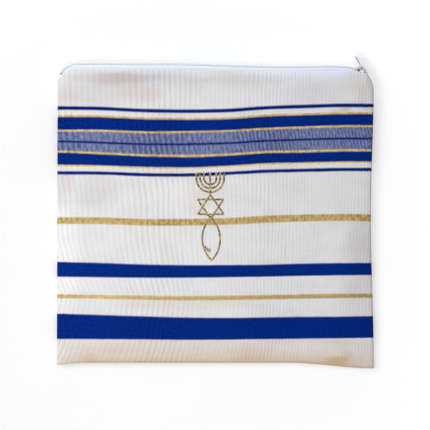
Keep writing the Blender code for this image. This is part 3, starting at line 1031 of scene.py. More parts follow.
YARN_COLOURS = {
    Yarn.WHITE: (0.87, 0.865, 0.88),
    Yarn.BLUE: (0.0005, 0.023, 0.228),
    Yarn.NAVY: (0.0004, 0.013, 0.185),
    Yarn.PALE: (0.150, 0.188, 0.360),
    Yarn.GOLD: (0.53, 0.385, 0.140),
    Yarn.THIN_GOLD: (0.81, 0.59, 0.185),
}


@dataclass(frozen=True)
class TintedPlace:
    """A soft-edged tinted place in millimetres of the bag, over the cloth's bands too; it serves
    for marks as well as for painted shade and painted light.
    """

    x: float
    y: float
    half_width: float
    half_height: float
    tint: Colour

    def tinted(self, bench: NodeBench, colour: Socket, x: Socket, y: Socket) -> Socket:
        """The colour with the tint on it, full in its middle and nothing past its edge.

        Args:
            bench: The material's bench.
            colour: The colour without it.
            x: The place across the bag.
            y: The place up the bag.

        Returns:
            The tinted colour.
        """
        u = bench.math("DIVIDE", bench.sub(x, self.x), self.half_width)
        v = bench.math("DIVIDE", bench.sub(y, self.y), self.half_height)
        square = bench.mul_add(u, u, bench.mul(v, v))
        inputs = {0: square, 1: 0.0, 2: 1.0, 3: 1.0, 4: 0.0}
        full = bench.add("ShaderNodeMapRange", inputs, interpolation_type="SMOOTHSTEP")
        return bench.blend(full.outputs[0], colour, (*self.tint, 1.0), "MULTIPLY")


def bag_places(bench: NodeBench) -> tuple[Socket, Socket]:
    """Places across and up the bag, in millimetres."""
    spot = bench.add("ShaderNodeTexCoord").outputs["Object"]
    x, y, _ = bench.add("ShaderNodeSeparateXYZ", {0: spot}).outputs
    return bench.math("DIVIDE", x, MM), bench.math("DIVIDE", y, MM)


# Faint marks of the cloth, and soft shading that the lamps alone don't give. Tints above 1 only
# lift a dim place. All are tuned to this studio's light, so they can show under another.
MARKS_AND_PAINTED_LIGHT = (
    TintedPlace(-144, 108, 20, 22, (1.0, 0.95, 0.90)),
    TintedPlace(-92, 126, 56, 7, (0.90, 0.87, 0.87)),
    TintedPlace(24, 124, 60, 6, (0.95, 0.93, 0.94)),
    TintedPlace(70, 134, 84, 8, (1.09, 1.10, 1.14)),
    TintedPlace(-108, 110, 38, 14, (0.90, 0.89, 0.885)),
    TintedPlace(-108, 22, 28, 22, (0.91, 0.895, 0.88)),
    TintedPlace(138, 106, 10, 20, (0.92, 0.89, 0.88)),
    TintedPlace(118, 98, 7, 5, (0.86, 0.81, 0.78)),
    TintedPlace(109, 93, 7, 5, (0.90, 0.87, 0.85)),
    TintedPlace(-138, 30, 13, 14, (0.95, 0.90, 0.88)),
    TintedPlace(-150, -40, 36, 66, (1.16, 1.16, 1.16)),
    TintedPlace(-40, 18, 30, 22, (1.06, 1.05, 1.05)),
    TintedPlace(136, -27, 24, 34, (0.87, 0.86, 0.84)),
    TintedPlace(134, -72, 30, 24, (0.94, 0.925, 0.91)),
    TintedPlace(112, 131, 16, 9, (1.02, 1.03, 1.10)),
    TintedPlace(131, 118, 14, 7, (0.985, 0.96, 0.93)),
    TintedPlace(-30, -80, 100, 7, (0.97, 0.93, 0.88)),
    TintedPlace(111, -132, 14, 6, (0.88, 0.80, 0.69)),
    TintedPlace(120, -127, 7, 6, (0.94, 0.90, 0.84)),
    TintedPlace(-12, 22, 20, 26, (0.97, 0.94, 0.90)),
    TintedPlace(-86, 124.5, 29, 9, (0.89, 0.83, 0.81)),
    TintedPlace(-40, 124.5, 42, 8.5, (0.93, 0.925, 0.95)),
    TintedPlace(-66, 112, 26, 12, (0.96, 0.88, 0.85)),
    TintedPlace(95, 112, 34, 13, (0.93, 0.92, 0.94)),
    TintedPlace(82, 126, 52, 14, (1.03, 1.06, 1.13)),
    TintedPlace(78, -121.5, 62, 9, (1.07, 1.09, 1.13)),
)


@dataclass(frozen=True)
class ShawlCloth:
    """Ribbed white shawl cloth with dyed, two-colour and metal-thread bands."""

    effects: SharedEffects
    rib_rates: Numbers = (0.2365, 0.0004666, 4.921e-07, -5.578e-09)
    swell_pitch: float = 103.0
    swell_at: float = -53.0
    warp_pitch: float = 0.62
    weft_pitch: float = 0.55
    wobble: float = 0.18
    tooth_pitch: float = 2.35
    tooth: float = 1.3
    ground_rib: float = 0.17
    dyed_rib: float = 0.25
    gold_rib: float = 0.12
    thread_shade: float = 0.95
    gold_low: Colour = (0.66, 0.54, 0.30)
    gold_high: Colour = (1.26, 1.31, 1.55)
    pale_low: Colour = (0.56, 0.61, 0.75)
    pale_high: Colour = (1.80, 1.66, 1.48)
    cloud_tint: Colour = (0.955, 0.94, 0.935)
    # Painted warm reflection near the bottom edge of the white ground.
    hem_tint: Colour = (0.90, 0.70, 0.50)
    roughness: float = 0.78
    specular: float = 0.04
    metallic: float = 0.4
    rib_relief: float = 0.06
    thread_relief: float = 0.020
    dyed_relief: float = 0.05

    def masks(self, bench: NodeBench, place: Socket) -> dict[Yarn, Socket]:
        """Where each yarn's bands are.

        Args:
            bench: The material's bench.
            place: The place up the loom, with the bands' toothed edges.

        Returns:
            A mask for each yarn but the ground's.
        """
        masks = {}
        for stripe in STRIPES:
            middle, half = (stripe.low + stripe.high) / 2, (stripe.high - stripe.low) / 2
            inside = bench.math("COMPARE", place, middle, half)
            masks[stripe.yarn] = bench.math("MAXIMUM", inside, masks.get(stripe.yarn, 0.0))
        return masks

    def build(self) -> Material:
        """Makes the material.

        Returns:
            The finished material.
        """
        material, bench, shader = new_material("shawl_cloth")
        across, along = loom_sockets(bench)
        x, y = bag_places(bench)
        masks = self.masks(bench, self.toothed(bench, across, along))
        colour = (*YARN_COLOURS[Yarn.WHITE], 1.0)
        for yarn, mask in masks.items():
            colour = bench.blend(mask, colour, (*YARN_COLOURS[yarn], 1.0))
        dyed = bench.math("MAXIMUM", masks[Yarn.BLUE], masks[Yarn.NAVY])
        metal = bench.math("MAXIMUM", masks[Yarn.GOLD], masks[Yarn.THIN_GOLD])
        ribs = self.ribs(bench, across, along, x)
        tall = bench.vector(across, bench.mul(along, 0.5))
        speck = bench.noise(tall, 1.0, 1.0)
        nubs = bench.noise(tall, 0.6, 3.0)
        streak = bench.noise(bench.vector(across, bench.mul(along, 0.3)), 0.8, 1.0)

        shade = bench.span(speck, 0.3, 0.7, 0.985, 1.045)
        shade = bench.mul_add(ribs, -self.ground_rib, shade)
        shade = bench.blend(masks[Yarn.PALE], shade, self.pale_shade(bench, streak, ribs))
        dyed_shade = bench.span(speck, 0.3, 0.7, 0.6, 1.5)
        shade = bench.blend(dyed, shade, bench.mul_add(ribs, -self.dyed_rib, dyed_shade))
        gold = bench.span(bench.mul_add(ribs, -self.gold_rib, nubs), 0.30, 0.58, 0.0, 1.0)
        gold = bench.blend(gold, (*self.gold_low, 1.0), (*self.gold_high, 1.0))
        shade = bench.blend(metal, shade, gold)

        inputs = {"Across": across, "Along": along, "Wobble": self.wobble}
        inputs.update({"Warp Pitch": self.warp_pitch, "Weft Pitch": self.weft_pitch})
        weave = bench.group(self.effects.weave, inputs)
        thread_shade = bench.span(weave["Shade"], 0.0, 1.0, self.thread_shade, 1.0)
        colour = bench.blend(1.0, colour, shade, "MULTIPLY")
        colour = bench.blend(1.0, colour, thread_shade, "MULTIPLY")
        ground = bench.sub(1.0, bench.math("MAXIMUM", dyed, metal))
        dull = bench.sub(bench.span(nubs, 0.3, 0.7, 0.52, 0.34), self.roughness)
        inputs = {
            "Base Color": self.aged(bench, colour, x, y, ground),
            "Roughness": bench.mul_add(metal, dull, self.roughness),
            "Metallic": bench.mul(metal, self.metallic),
            "Specular IOR Level": self.specular,
        }
        bench.give(shader, inputs)
        relief = bench.mul(ribs, -self.rib_relief)
        relief = bench.mul_add(weave["Height"], self.thread_relief, relief)
        relief = bench.mul_add(dyed, self.dyed_relief, relief)
        relief = bench.mul_add(metal, bench.span(nubs, 0.0, 1.0, 0.08, 0.24), relief)
        bench.bump(shader, relief)
        return material

    def toothed(self, bench: NodeBench, across: Socket, along: Socket) -> Socket:
        """The place up the loom, pushed up and down so that each band's edge is toothed.

        Args:
            bench: The material's bench.
            across: The place across the loom.
            along: The place up the loom.

        Returns:
            The pushed place.
        """
        tooth = bench.math("PINGPONG", across, self.tooth_pitch / 2)
        tooth = bench.sub(tooth, self.tooth_pitch / 4)
        place = bench.mul_add(tooth, 2 * self.tooth / self.tooth_pitch, along)
        loom = bench.vector(across, along)
        for scale, reach in ((0.30, 0.7), (1.1, 0.55)):
            drift = bench.sub(bench.noise(loom, scale, 1.0), 0.5)
            place = bench.mul_add(drift, reach, place)
        return place

    def ribs(self, bench: NodeBench, across: Socket, along: Socket, x: Socket) -> Socket:
        """The soft ribs along the warp: wider apart to the left, deeper in two broad zones.

        Args:
            bench: The material's bench.
            across: The place across the loom.
            along: The place up the loom.
            x: The place across the bag.

        Returns:
            The ribs' depth from 0 to 1.
        """
        slow = bench.vector(across, bench.mul(along, 0.5))
        wander = bench.sub(bench.noise(slow, 0.05, 1.0), 0.5)
        place = bench.mul_add(wander, 4.0, across)
        turns = 0.0
        for rate in reversed(self.rib_rates):
            turns = bench.mul(bench.plus(turns, rate), place)
        rib = bench.wave(turns)
        swell = bench.wave(bench.mul(bench.sub(x, self.swell_at), 1 / self.swell_pitch))
        one_by_one = bench.vector(place, bench.mul(along, 0.24))
        uneven = bench.span(bench.noise(one_by_one, 0.29, 1.0), 0.32, 0.66, 0.6, 1.0)
        shown = bench.mul(uneven, bench.span(swell, 0.0, 1.0, 0.36, 0.95))
        return bench.mul(rib, shown)

    def pale_shade(self, bench: NodeBench, speck: Socket, ribs: Socket) -> Socket:
        """The uneven shade of the band whose warp is white and whose weft is blue.

        Args:
            bench: The material's bench.
            speck: Noise round 0.5.
            ribs: The ribs' depth.

        Returns:
            The shade.
        """
        white = bench.mul_add(ribs, -1.0, bench.span(speck, 0.3, 0.7, 0.2, 1.15))
        white = bench.math("MINIMUM", bench.math("MAXIMUM", white, 0.0), 1.0)
        return bench.blend(white, (*self.pale_low, 1.0), (*self.pale_high, 1.0))

    def aged(
        self, bench: NodeBench, colour: Socket, x: Socket, y: Socket, ground: Socket
    ) -> Socket:
        """The white ground's clouding, a painted warm reflection that grows towards its bottom
        edge, the cloth's marks with its painted shade and painted light, and painted shade along
        the right and bottom edges.

        Args:
            bench: The material's bench.
            colour: The cloth's colour.
            x: The place across the bag.
            y: The place up the bag.
            ground: Where the white ground is.

        Returns:
            The colour with them.
        """
        place = bench.vector(bench.mul(x, 0.6), bench.mul(y, 1.2))
        cloud = bench.noise(place, 0.05, 2.0)
        amount = bench.mul(ground, bench.span(cloud, 0.42, 0.72, 0.0, 1.0))
        colour = bench.blend(amount, colour, (*self.cloud_tint, 1.0), "MULTIPLY")
        # Painted warm reflection on the white ground, growing towards the bottom edge and weaker
        # at the sides.
        low = bench.math("POWER", bench.span(y, -70.0, -134.0, 0.0, 1.0), 3.4)
        middle = bench.span(bench.math("ABSOLUTE", x), 116.0, 144.0, 1.0, 0.35)
        warm_reflection = bench.mul(bench.mul(low, middle), ground)
        warm_reflection = bench.mul(warm_reflection, bench.span(cloud, 0.3, 0.7, 0.9, 1.1))
        colour = bench.blend(warm_reflection, colour, (*self.hem_tint, 1.0), "MULTIPLY")
        for tint_place in MARKS_AND_PAINTED_LIGHT:
            colour = tint_place.tinted(bench, colour, x, y)
        # Painted shade: the rim attribute darkens the right edge and the bottom edge towards
        # black.
        rim = bench.add("ShaderNodeAttribute", attribute_name="rim").outputs["Fac"]
        return bench.blend(rim, colour, (0.0, 0.0, 0.0, 1.0))


@dataclass(frozen=True)
class ZipTapeWeave:
    """The zip tape's close, cool white twill."""

    effects: SharedEffects
    colour: Colour = (0.86, 0.92, 1.0)
    shade: Colour = (0.76, 0.80, 0.97)
    twill_pitch: float = 0.7
    twill_run: float = 1.6
    rib: float = 0.9
    wobble: float = 0.1
    relief: float = 0.05

    def build(self) -> Material:
        """Makes the material.

        Returns:
            The finished material.
        """
        material, bench, shader = new_material("zip_tape")
        across, along = loom_sockets(bench)
        slant = bench.plus(across, bench.math("PINGPONG", along, self.twill_run))
        inputs = {"Across": slant, "Along": along, "Wobble": self.wobble}
        inputs.update({"Warp Pitch": self.twill_pitch, "Weft Pitch": self.rib})
        weave = bench.group(self.effects.weave, inputs)
        deep = bench.span(weave["Shade"], 0.0, 1.0, 0.35, 0.0)
        inputs = {
            "Base Color": bench.blend(deep, (*self.colour, 1.0), (*self.shade, 1.0)),
            "Roughness": bench.span(weave["Shade"], 0, 1, 0.85, 0.68),
            "Specular IOR Level": 0.3,
            "Sheen Weight": 0.1,
        }
        bench.give(shader, inputs)
        bench.bump(shader, bench.mul(weave["Height"], self.relief))
        return material


@dataclass(frozen=True)
class DrawnNylon:
    """The coil's smooth drawn nylon."""

    effects: SharedEffects
    colour: Colour = (0.94, 0.97, 1.0)
    shade: Colour = (0.86, 0.92, 1.0)
    # Painted shadow of the fold at the zip's closed end.
    closed_end: TintedPlace = TintedPlace(-140.2, 129.3, 2.0, 2.0, (0.10, 0.09, 0.16))
    relief: float = 0.012

    def build(self) -> Material:
        """Makes the material.

        Returns:
            The finished material.
        """
        material, bench, shader = new_material("zip_nylon")
        mottle = bench.group(self.effects.mottle, {"Size mm": 1.4, "Contrast": 1.0})[0]
        share = bench.span(mottle, 0.3, 0.7, 0.0, 0.8)
        colour = bench.blend(share, (*self.colour, 1.0), (*self.shade, 1.0))
        inputs = {
            "Base Color": self.closed_end.tinted(bench, colour, *bag_places(bench)),
            "Roughness": bench.span(mottle, 0.3, 0.7, 0.34, 0.5),
            "Coat Weight": 0.5,
            "Coat Roughness": 0.2,
        }
        bench.give(shader, inputs)
        bench.bump(shader, bench.mul(mottle, self.relief))
        return material


@dataclass(frozen=True)
class PlatedNickel:
    """Bright nickel plate, a little dulled and scratched by use, with painted shade on the tab and
    painted shadow in the slider's gaps.
    """

    effects: SharedEffects
    colour: Colour = (0.93, 0.95, 1.0)
    dull: Colour = (0.66, 0.68, 0.74)
    # Painted shade over the pull tab, darkening it towards blue-grey.
    tab_shade: TintedPlace = TintedPlace(128.4, 141.0, 7, 8, (0.45, 0.50, 0.66))
    # Painted shadow in the slider's gaps: the base colour goes nearly black there.
    hollows: tuple[TintedPlace, ...] = (
        TintedPlace(130.7, 132.9, 1.7, 1.4, (0.03, 0.03, 0.05)),
        TintedPlace(133.4, 135.0, 1.7, 1.3, (0.03, 0.03, 0.05)),
        TintedPlace(136.8, 131.5, 1.6, 1.8, (0.03, 0.03, 0.05)),
    )
    scratches: tuple[float, float, float] = (900, 5200, 2600)
    relief: float = 0.006

    def build(self) -> Material:
        """Makes the material.

        Returns:
            The finished material.
        """
        material, bench, shader = new_material("nickel")
        mottle = bench.group(self.effects.mottle, {"Size mm": 0.9, "Contrast": 1.4})[0]
        coords = bench.add("ShaderNodeTexCoord").outputs["Object"]
        stretch = bench.add("ShaderNodeMapping", {"Vector": coords, "Scale": self.scratches})
        scratch = bench.noise(stretch.outputs[0], 1.0, 2.0)
        worn = bench.mul_add(scratch, 0.5, bench.mul(mottle, 0.5))
        share = bench.span(worn, 0.35, 0.65, 0.0, 0.7)
        colour = bench.blend(share, (*self.colour, 1.0), (*self.dull, 1.0))
        places = bag_places(bench)
        for tint_place in (self.tab_shade, *self.hollows):
            colour = tint_place.tinted(bench, colour, *places)
        rough = bench.span(worn, 0.35, 0.65, 0.2, 0.38)
        bench.give(shader, {"Base Color": colour, "Roughness": rough, "Metallic": 1.0})
        bench.bump(shader, bench.mul(worn, self.relief))
        return material


@dataclass(frozen=True)
class TwistedThread:
    """A sewing or embroidery thread."""

    effects: SharedEffects
    name: str
    colour: Colour
    deep: Colour
    metallic: float
    roughness: tuple[float, float]
    patches: float = 0.0
    ties: tuple[TintedPlace, ...] = ()
    relief: float = 0.03

    def build(self) -> Material:
        """Makes the material.

        Returns:
            The finished material.
        """
        material, bench, shader = new_material(self.name)
        twist = bench.group(self.effects.twist, {"Size mm": 0.8, "Contrast": 1.3})
        share = bench.span(twist["Shade"], 0.25, 0.75, 0.0, 1.0)
        patch = bench.group(self.effects.mottle, {"Size mm": 1.8, "Contrast": 1.0})[0]
        drift = bench.span(patch, 0.35, 0.65, -self.patches, self.patches)
        share = bench.span(bench.plus(share, drift), 0.0, 1.0, 0.0, 1.0)
        colour = bench.blend(share, (*self.colour, 1.0), (*self.deep, 1.0))
        for tie in self.ties:
            colour = tie.tinted(bench, colour, *bag_places(bench))
        rough = bench.span(share, 0.0, 1.0, *self.roughness)
        bench.give(shader, {"Base Color": colour, "Roughness": rough, "Metallic": self.metallic})
        bench.bump(shader, bench.mul(twist["Height"], self.relief))
        return material


@dataclass(frozen=True)
class Finishes:
    """The bag's materials."""

    cloth: Material
    tape: Material
    nylon: Material
    nickel: Material
    gold_thread: Material
    white_thread: Material


def make_finishes() -> Finishes:
    """Builds the shared effects and every finish.

    Returns:
        The bag's materials.
    """
    grains = (grain_group("soft_mottle", 3.0), grain_group("thread_twist", 1.0))
    effects = SharedEffects(weave_group(), *grains)
    under_flames = TintedPlace(-3, 33.8, 60, 1.5, (0.28, 0.22, 0.16))
    gold = ((0.86, 0.66, 0.26), (0.085, 0.048, 0.016), 0.5, (0.28, 0.45), 0.6, (under_flames,))
    white = ((0.86, 0.87, 0.92), (0.7, 0.71, 0.78), 0.0, (0.5, 0.7))
    return Finishes(
        cloth=ShawlCloth(effects).build(),
        tape=ZipTapeWeave(effects).build(),
        nylon=DrawnNylon(effects).build(),
        nickel=PlatedNickel(effects).build(),
        gold_thread=TwistedThread(effects, "gold_thread", *gold).build(),
        white_thread=TwistedThread(effects, "white_thread", *white).build(),
    )


# Cloth panels


# Where a panel's grid lines lie beside its roll, in millimetres from its edge
FRONT_NEAR = (3.8, 4.7, 5.8, 7.0, 8.3, 9.7, 11.1, 12.5)
BACK_NEAR = (4.2, 6.0, 8.0, 10.5, 13.5)


@dataclass
class ClothPanel:
    """A sheet of shawl cloth, as a closed thin shell; its side is 1 in front, -1 behind."""

    form: BagForm
    lay: WeaveLay
    finish: Material
    side: int
    name: str
    node: str
    near: Numbers
    columns: int
    rows: int
    roll_steps: int = 7
    thickness: float = 1.0 * MM
    flat: tuple[float, float] = (0.290, 0.268)
    # Painted shade along the right edge and the bottom edge: how dark each gets, and how far in.
    rim_shades: tuple[float, float] = (0.34, 0.12)
    rim_reach: float = 1.5 * MM
    fold_share: float = 0.9

    def height(self, x: Field, y: Field, inset: float) -> Field:
        """A face's height, softened along the zip."""
        side = self.side if inset == 0 else -self.side
        return self.form.face(self.side, x, y, inset) - side * self.soft_edge(x, y)

    def points(self, inset: float) -> Field:
        """One face's points.

        Args:
            inset: Depth below the outer face.

        Returns:
            The points, columns by rows by 3.
        """
        outline = self.form.outline
        near = np.array(self.near) * MM
        turn = np.linspace(0.0, math.pi / 2, self.roll_steps + 1)
        roll = inset + (self.form.edge_roll - inset) * (1 - np.cos(turn))
        offsets = np.concatenate([roll, near])
        columns = np.linspace(0, 1, self.columns + 2)[1:-1]
        rows = np.linspace(0, 1, self.rows + 2)[1:-1]
        low_count = len(offsets)
        shares = np.concatenate([np.zeros(low_count), rows, np.ones(low_count)])
        faces = []
        for row, nominal in enumerate(shares):
            share = np.full(2 * low_count + self.columns, nominal)
            for _ in range(3):
                left, right = outline.left(share), outline.right(share)
                low, high = left + near[-1], right - near[-1]
                middle = low[low_count:-low_count] + columns * (high - low)[low_count:-low_count]
                x = np.concatenate(
                    [left[:low_count] + offsets, middle, right[-low_count:] - offsets[::-1]]
                )
                bottom, top = outline.bottom(x), outline.top(x)
                if row < low_count:
                    y = bottom + offsets[row]
                elif row < low_count + self.rows:
                    span = (top - near[-1]) - (bottom + near[-1])
                    y = bottom + near[-1] + rows[row - low_count] * span
                else:
                    from_top = len(shares) - 1 - row
                    y = top - self.top_offset(from_top, inset, x)
                share = outline.share_up(y)
            faces.append(np.stack([x, y, self.height(x, y, inset)], axis=-1))
        return np.array(faces).transpose(1, 0, 2)

    def top_offset(self, from_top: int, inset: float, x: Field) -> Field:
        """How far a line lies below the top edge.

        Args:
            from_top: The line's number, from the edge.
            inset: Depth below the outer face.
            x: Places across the bag.

        Returns:
            The distance at each place.
        """
        if from_top > self.roll_steps:
            return np.full_like(x, self.near[from_top - self.roll_steps - 1] * MM)
        turn = math.pi / 2 * from_top / self.roll_steps
        start = inset * self.form.outline.sewn(x)
        return start + (self.form.edge_roll - start) * (1 - math.cos(turn))

    def soft_edge(self, x: Field, y: Field) -> Field:
        """How far each face draws in along the zip, where the cloth is folded under."""
        top = self.form.outline.distances(x, y)[3]
        half = self.thickness / 2
        return self.fold_share * half * (1 - rolled(top, half)) * (1 - self.form.outline.sewn(x))

    def build(self) -> Object:
        """Returns:
            The finished panel.
        """
        outer, inner = self.points(0.0), self.points(self.thickness)
        columns, rows = outer.shape[:2]
        verts = np.concatenate([outer.reshape(-1, 3), inner.reshape(-1, 3)])
        grid = np.arange(columns * rows).reshape(columns, rows)
        quads = np.stack([grid[:-1, :-1], grid[1:, :-1], grid[1:, 1:], grid[:-1, 1:]], axis=-1)
        quads = quads.reshape(-1, 4)
        rim = np.concatenate([grid[:, 0], grid[-1, 1:], grid[-2::-1, -1], grid[0, -2:0:-1]])
        after = np.roll(rim, -1)
        skirt = np.stack([rim, after, after + columns * rows, rim + columns * rows], axis=-1)
        faces = np.concatenate([quads, quads + columns * rows, skirt])
        draft = MeshDraft()
        draft.add(verts.tolist(), faces.tolist())
        piece = round_shading(draft.build(self.name, self.finish), 60)
        self.lay_weave(piece)
        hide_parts(self.node)
        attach(piece, "bag")
        report(piece)
        return piece

    def lay_weave(self, piece: Object) -> None:
        """Writes where the piece was on the loom, and the painted shade along its right edge, its
        upper right corner and its bottom edge.

        Args:
            piece: The panel.
        """
        mesh = piece.data
        co = np.empty(len(mesh.vertices) * 3)
        mesh.vertices.foreach_get("co", co)
        x, y = co[0::3], co[1::3]
        write_loom(mesh, *self.lay.loom(x, y))
        _, right, bottom, top = self.form.outline.distances(x, y)
        top = np.where(x > 0, top, right)
        near = np.where(self.form.outline.sewn(x) > 0.5, np.minimum(right, top), right)
        # Painted shade, strongest on the edge itself.
        painted_side_shade, painted_bottom_shade = self.rim_shades
        rim = painted_side_shade * np.exp(-((near / self.rim_reach) ** 2))
        rim = rim + painted_bottom_shade * np.exp(-((bottom / self.rim_reach) ** 2))
        shade = mesh.attributes.new("rim", "FLOAT", "POINT")
        shade.data.foreach_set("value", rim)


# Stitches, and the node trees that work along lines


@dataclass(frozen=True)
class StitchPattern:
    """How a line is sewn, in metres and radians: these are the stitch tree's inputs."""

    pitch: float
    length: float
    radius: float
    rise: float
    sink: float
    slant: float
    spread: float
    seed: int
    core_width: float = 0.0
    core_share: float = 1.0


SATIN = StitchPattern(
    0.34 * MM, 1.5 * MM, 0.17 * MM, 0.42 * MM, 0.12 * MM, math.radians(14), math.radians(7), 5,
    core_width=1.25 * MM, core_share=0.42,
)
RUNNING = StitchPattern(
    2.9 * MM, 2.3 * MM, 0.16 * MM, 0.16 * MM, 0.12 * MM, math.radians(90), math.radians(3), 9
)
COIL_SEAM = StitchPattern(
    1.5 * MM, 1.25 * MM, 0.13 * MM, 0.12 * MM, 0.05 * MM, math.radians(84), math.radians(3), 13
)
BAR_TACK = StitchPattern(
    0.36 * MM, 2.6 * MM, 0.17 * MM, 0.5 * MM, 0.1 * MM, 0.0, math.radians(4), 17
)


@dataclass(frozen=True)
class SewnLine:
    """A line to sew: its points, N by 3, and the way the cloth faces along it."""

    points: Field
    facing: Field


def polylines(name: str, lines: list[Field], extra: tuple[str, Field]) -> Object:
    """A mesh of bare edges through runs of points.

    Args:
        name: The object's name.
        lines: Runs of points, each N by 3.
        extra: An attribute's name, and its number or vector for each point.

    Returns:
        The new object.
    """
    verts, edges = [], []
    for line in lines:
        start = len(verts)
        verts += [tuple(map(float, point)) for point in line]
        edges += [(start + i, start + i + 1) for i in range(len(line) - 1)]
    mesh = bpy.data.meshes.new(name)
    mesh.from_pydata(verts, edges, [])
    key, values = extra
    kind, part = ("FLOAT_VECTOR", "vector") if values.ndim == 2 else ("FLOAT", "value")
    layer = mesh.attributes.new(key, kind, "POINT")
    layer.data.foreach_set(part, values.astype(np.float32).ravel())
    return new_piece(name, mesh, None)


class LineTree:
    """Geometry Nodes that turn bare lines into one mesh, with a named input for each size."""

    def __init__(self, name: str, sizes: tuple[str, ...]) -> None:
        """Makes the tree.

        Args:
            name: The tree's name.
            sizes: The names of its number inputs.
        """
        inputs = {"lines": "Geometry", "material": "Material"}
        inputs.update((size, "Int" if size == "seed" else "Float") for size in sizes)
        made = new_group(name, "GeometryNodeTree", inputs, {"mesh": "Geometry"})
        self.bench, self.given, self.result = made
        lines = self.bench.add("GeometryNodeMeshToCurve", {0: self.value("lines")})
        self.lines = lines.outputs[0]

    def value(self, name: str) -> Socket:
        """One of the tree's inputs."""
        return self.given.outputs[name]

    def spaced(self, step: Socket) -> Socket:
        """The lines, with points at even steps."""
        inputs = {0: self.lines, "Length": step}
        return self.bench.add("GeometryNodeResampleCurve", inputs, mode="LENGTH").outputs[0]

    def circle(self, sides: int, radius: Socket) -> Socket:
        """A round section."""
        inputs = {"Resolution": sides, "Radius": radius}
        return self.bench.add("GeometryNodeCurvePrimitiveCircle", inputs).outputs[0]

    def swept(self, path: Socket, section: Socket) -> Socket:
        """A section swept along a path, smooth and with closed ends.

        Args:
            path: The path, a curve.
            section: The section, a curve.

        Returns:
            The mesh.
        """
        inputs = {0: path, 1: section, "Fill Caps": True}
        mesh = self.bench.add("GeometryNodeCurveToMesh", inputs).outputs[0]
        return self.bench.add("GeometryNodeSetShadeSmooth", {0: mesh}).outputs[0]

    def finish(self, *parts: Socket) -> None:
        """Puts the parts out as real geometry with the tree's material.

        Args:
            *parts: The parts' meshes or instances.
        """
        joined = self.bench.add("GeometryNodeJoinGeometry")
        for part in parts:
            self.bench.feed(joined.inputs[0], part)
        real = self.bench.add("GeometryNodeRealizeInstances", {0: joined.outputs[0]})
        inputs = {0: real.outputs[0], "Material": self.value("material")}
        shown = self.bench.add("GeometryNodeSetMaterial", inputs)
        self.bench.feed(self.result.inputs[0], shown.outputs[0])

    def run(self, source: Object, name: str, values: dict[str, object]) -> Object:
        """Works on bare lines and leaves a plain piece.

        Args:
            source: The lines, which are used up.
            name: The piece's name.
            values: A value for each named input.

        Returns:
            The new piece.
        """
        tree = self.bench.tree
        modifier = source.modifiers.new(tree.name, "NODES")
        modifier.node_group = tree
        for item in tree.interface.items_tree:
            if item.item_type == "SOCKET" and item.in_out == "INPUT" and item.name in values:
                modifier[item.identifier] = values[item.name]
        return baked(source, name)


class StitchTree(LineTree):
    """Sews stitches along lines."""

    def __init__(self) -> None:
        """Builds the tree."""
        super().__init__("sewn_stitches", tuple(size.name for size in fields(StitchPattern)))
        inputs = {
            "Points": self.spaced(self.value("pitch")),
            "Instance": self.stitch(),
            "Rotation": self.turn(),
        }
        stitches = self.bench.add("GeometryNodeInstanceOnPoints", inputs)
        self.finish(stitches.outputs[0], self.core())

    def stitch(self) -> Socket:
        """One arched thread across a line.

        Returns:
            The thread's mesh.
        """
        half = self.bench.mul(self.value("length"), 0.5)
        low = self.bench.mul(self.value("sink"), -1.0)
        inputs = {
            "Resolution": 6,
            "Start": self.bench.vector(0.0, self.bench.mul(half, -1.0), low),
            "Middle": self.bench.vector(0.0, 0.0, self.bench.mul(self.value("rise"), 2.0)),
            "End": self.bench.vector(0.0, half, low),
        }
        arc = self.bench.add("GeometryNodeCurveQuadraticBezier", inputs)
        return self.swept(arc.outputs[0], self.circle(5, self.value("radius")))

    def turn(self) -> Socket:
        """The way each stitch lies: across its line, slanted and a little uneven.

        Returns:
            The stitch's rotation.
        """
        bench = self.bench
        tangent = bench.add("GeometryNodeInputTangent").outputs[0]
        facing = bench.attribute("facing", "FLOAT_VECTOR")
        axes = {"primary_axis": "X", "secondary_axis": "Z"}
        facing = bench.add("FunctionNodeAxesToRotation", {0: tangent, 1: facing}, **axes)
        spread = self.value("spread")
        inputs = {2: bench.mul(spread, -1.0), 3: spread, "Seed": self.value("seed")}
        uneven = bench.add("FunctionNodeRandomValue", inputs, data_type="FLOAT").outputs[1]
        angle = bench.plus(self.value("slant"), uneven)
        inputs = {"Axis": (0.0, 0.0, 1.0), "Angle": angle}
        slant = bench.add("FunctionNodeAxisAngleToRotation", inputs)
        inputs = {0: facing.outputs[0], 1: slant.outputs[0]}
        turned = bench.add("FunctionNodeRotateRotation", inputs, rotation_space="LOCAL")
        return turned.outputs[0]

    def core(self) -> Socket:
        """The flat padding under satin stitches, left out where its width is 0.

        Returns:
            The padding's mesh.
        """
        bench, width = self.bench, self.value("core_width")
        level = bench.add("GeometryNodeSetCurveNormal", {0: self.lines}, mode="Z_UP")
        flat = bench.vector(1.0, self.value("core_share"), 1.0)
        inputs = {0: self.circle(8, bench.mul(width, 0.5)), "Scale": flat}
        section = bench.add("GeometryNodeTransform", inputs)
        padding = self.swept(level.outputs[0], section.outputs[0])
        inputs = {0: bench.math("GREATER_THAN", width, 0.0), 2: padding}
        return bench.add("GeometryNodeSwitch", inputs, input_type="GEOMETRY").outputs[0]

    def sew(
        self, name: str, lines: list[SewnLine], pattern: StitchPattern, thread: Material
    ) -> Object:
        """Sews stitches along lines.

        Args:
            name: The piece's name.
            lines: The lines, each with the way its cloth faces.
            pattern: How the lines are sewn.
            thread: The thread's material.

        Returns:
            The stitches as one plain piece that rides on the bag.
        """
        facing = [np.broadcast_to(line.facing, line.points.shape) for line in lines]
        facing = ("facing", np.concatenate(facing))
        source = polylines(name + "_lines", [line.points for line in lines], facing)
        piece = self.run(source, name, {**asdict(pattern), "material": thread})
        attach(piece, "bag")
        report(piece)
        return piece


# The zip


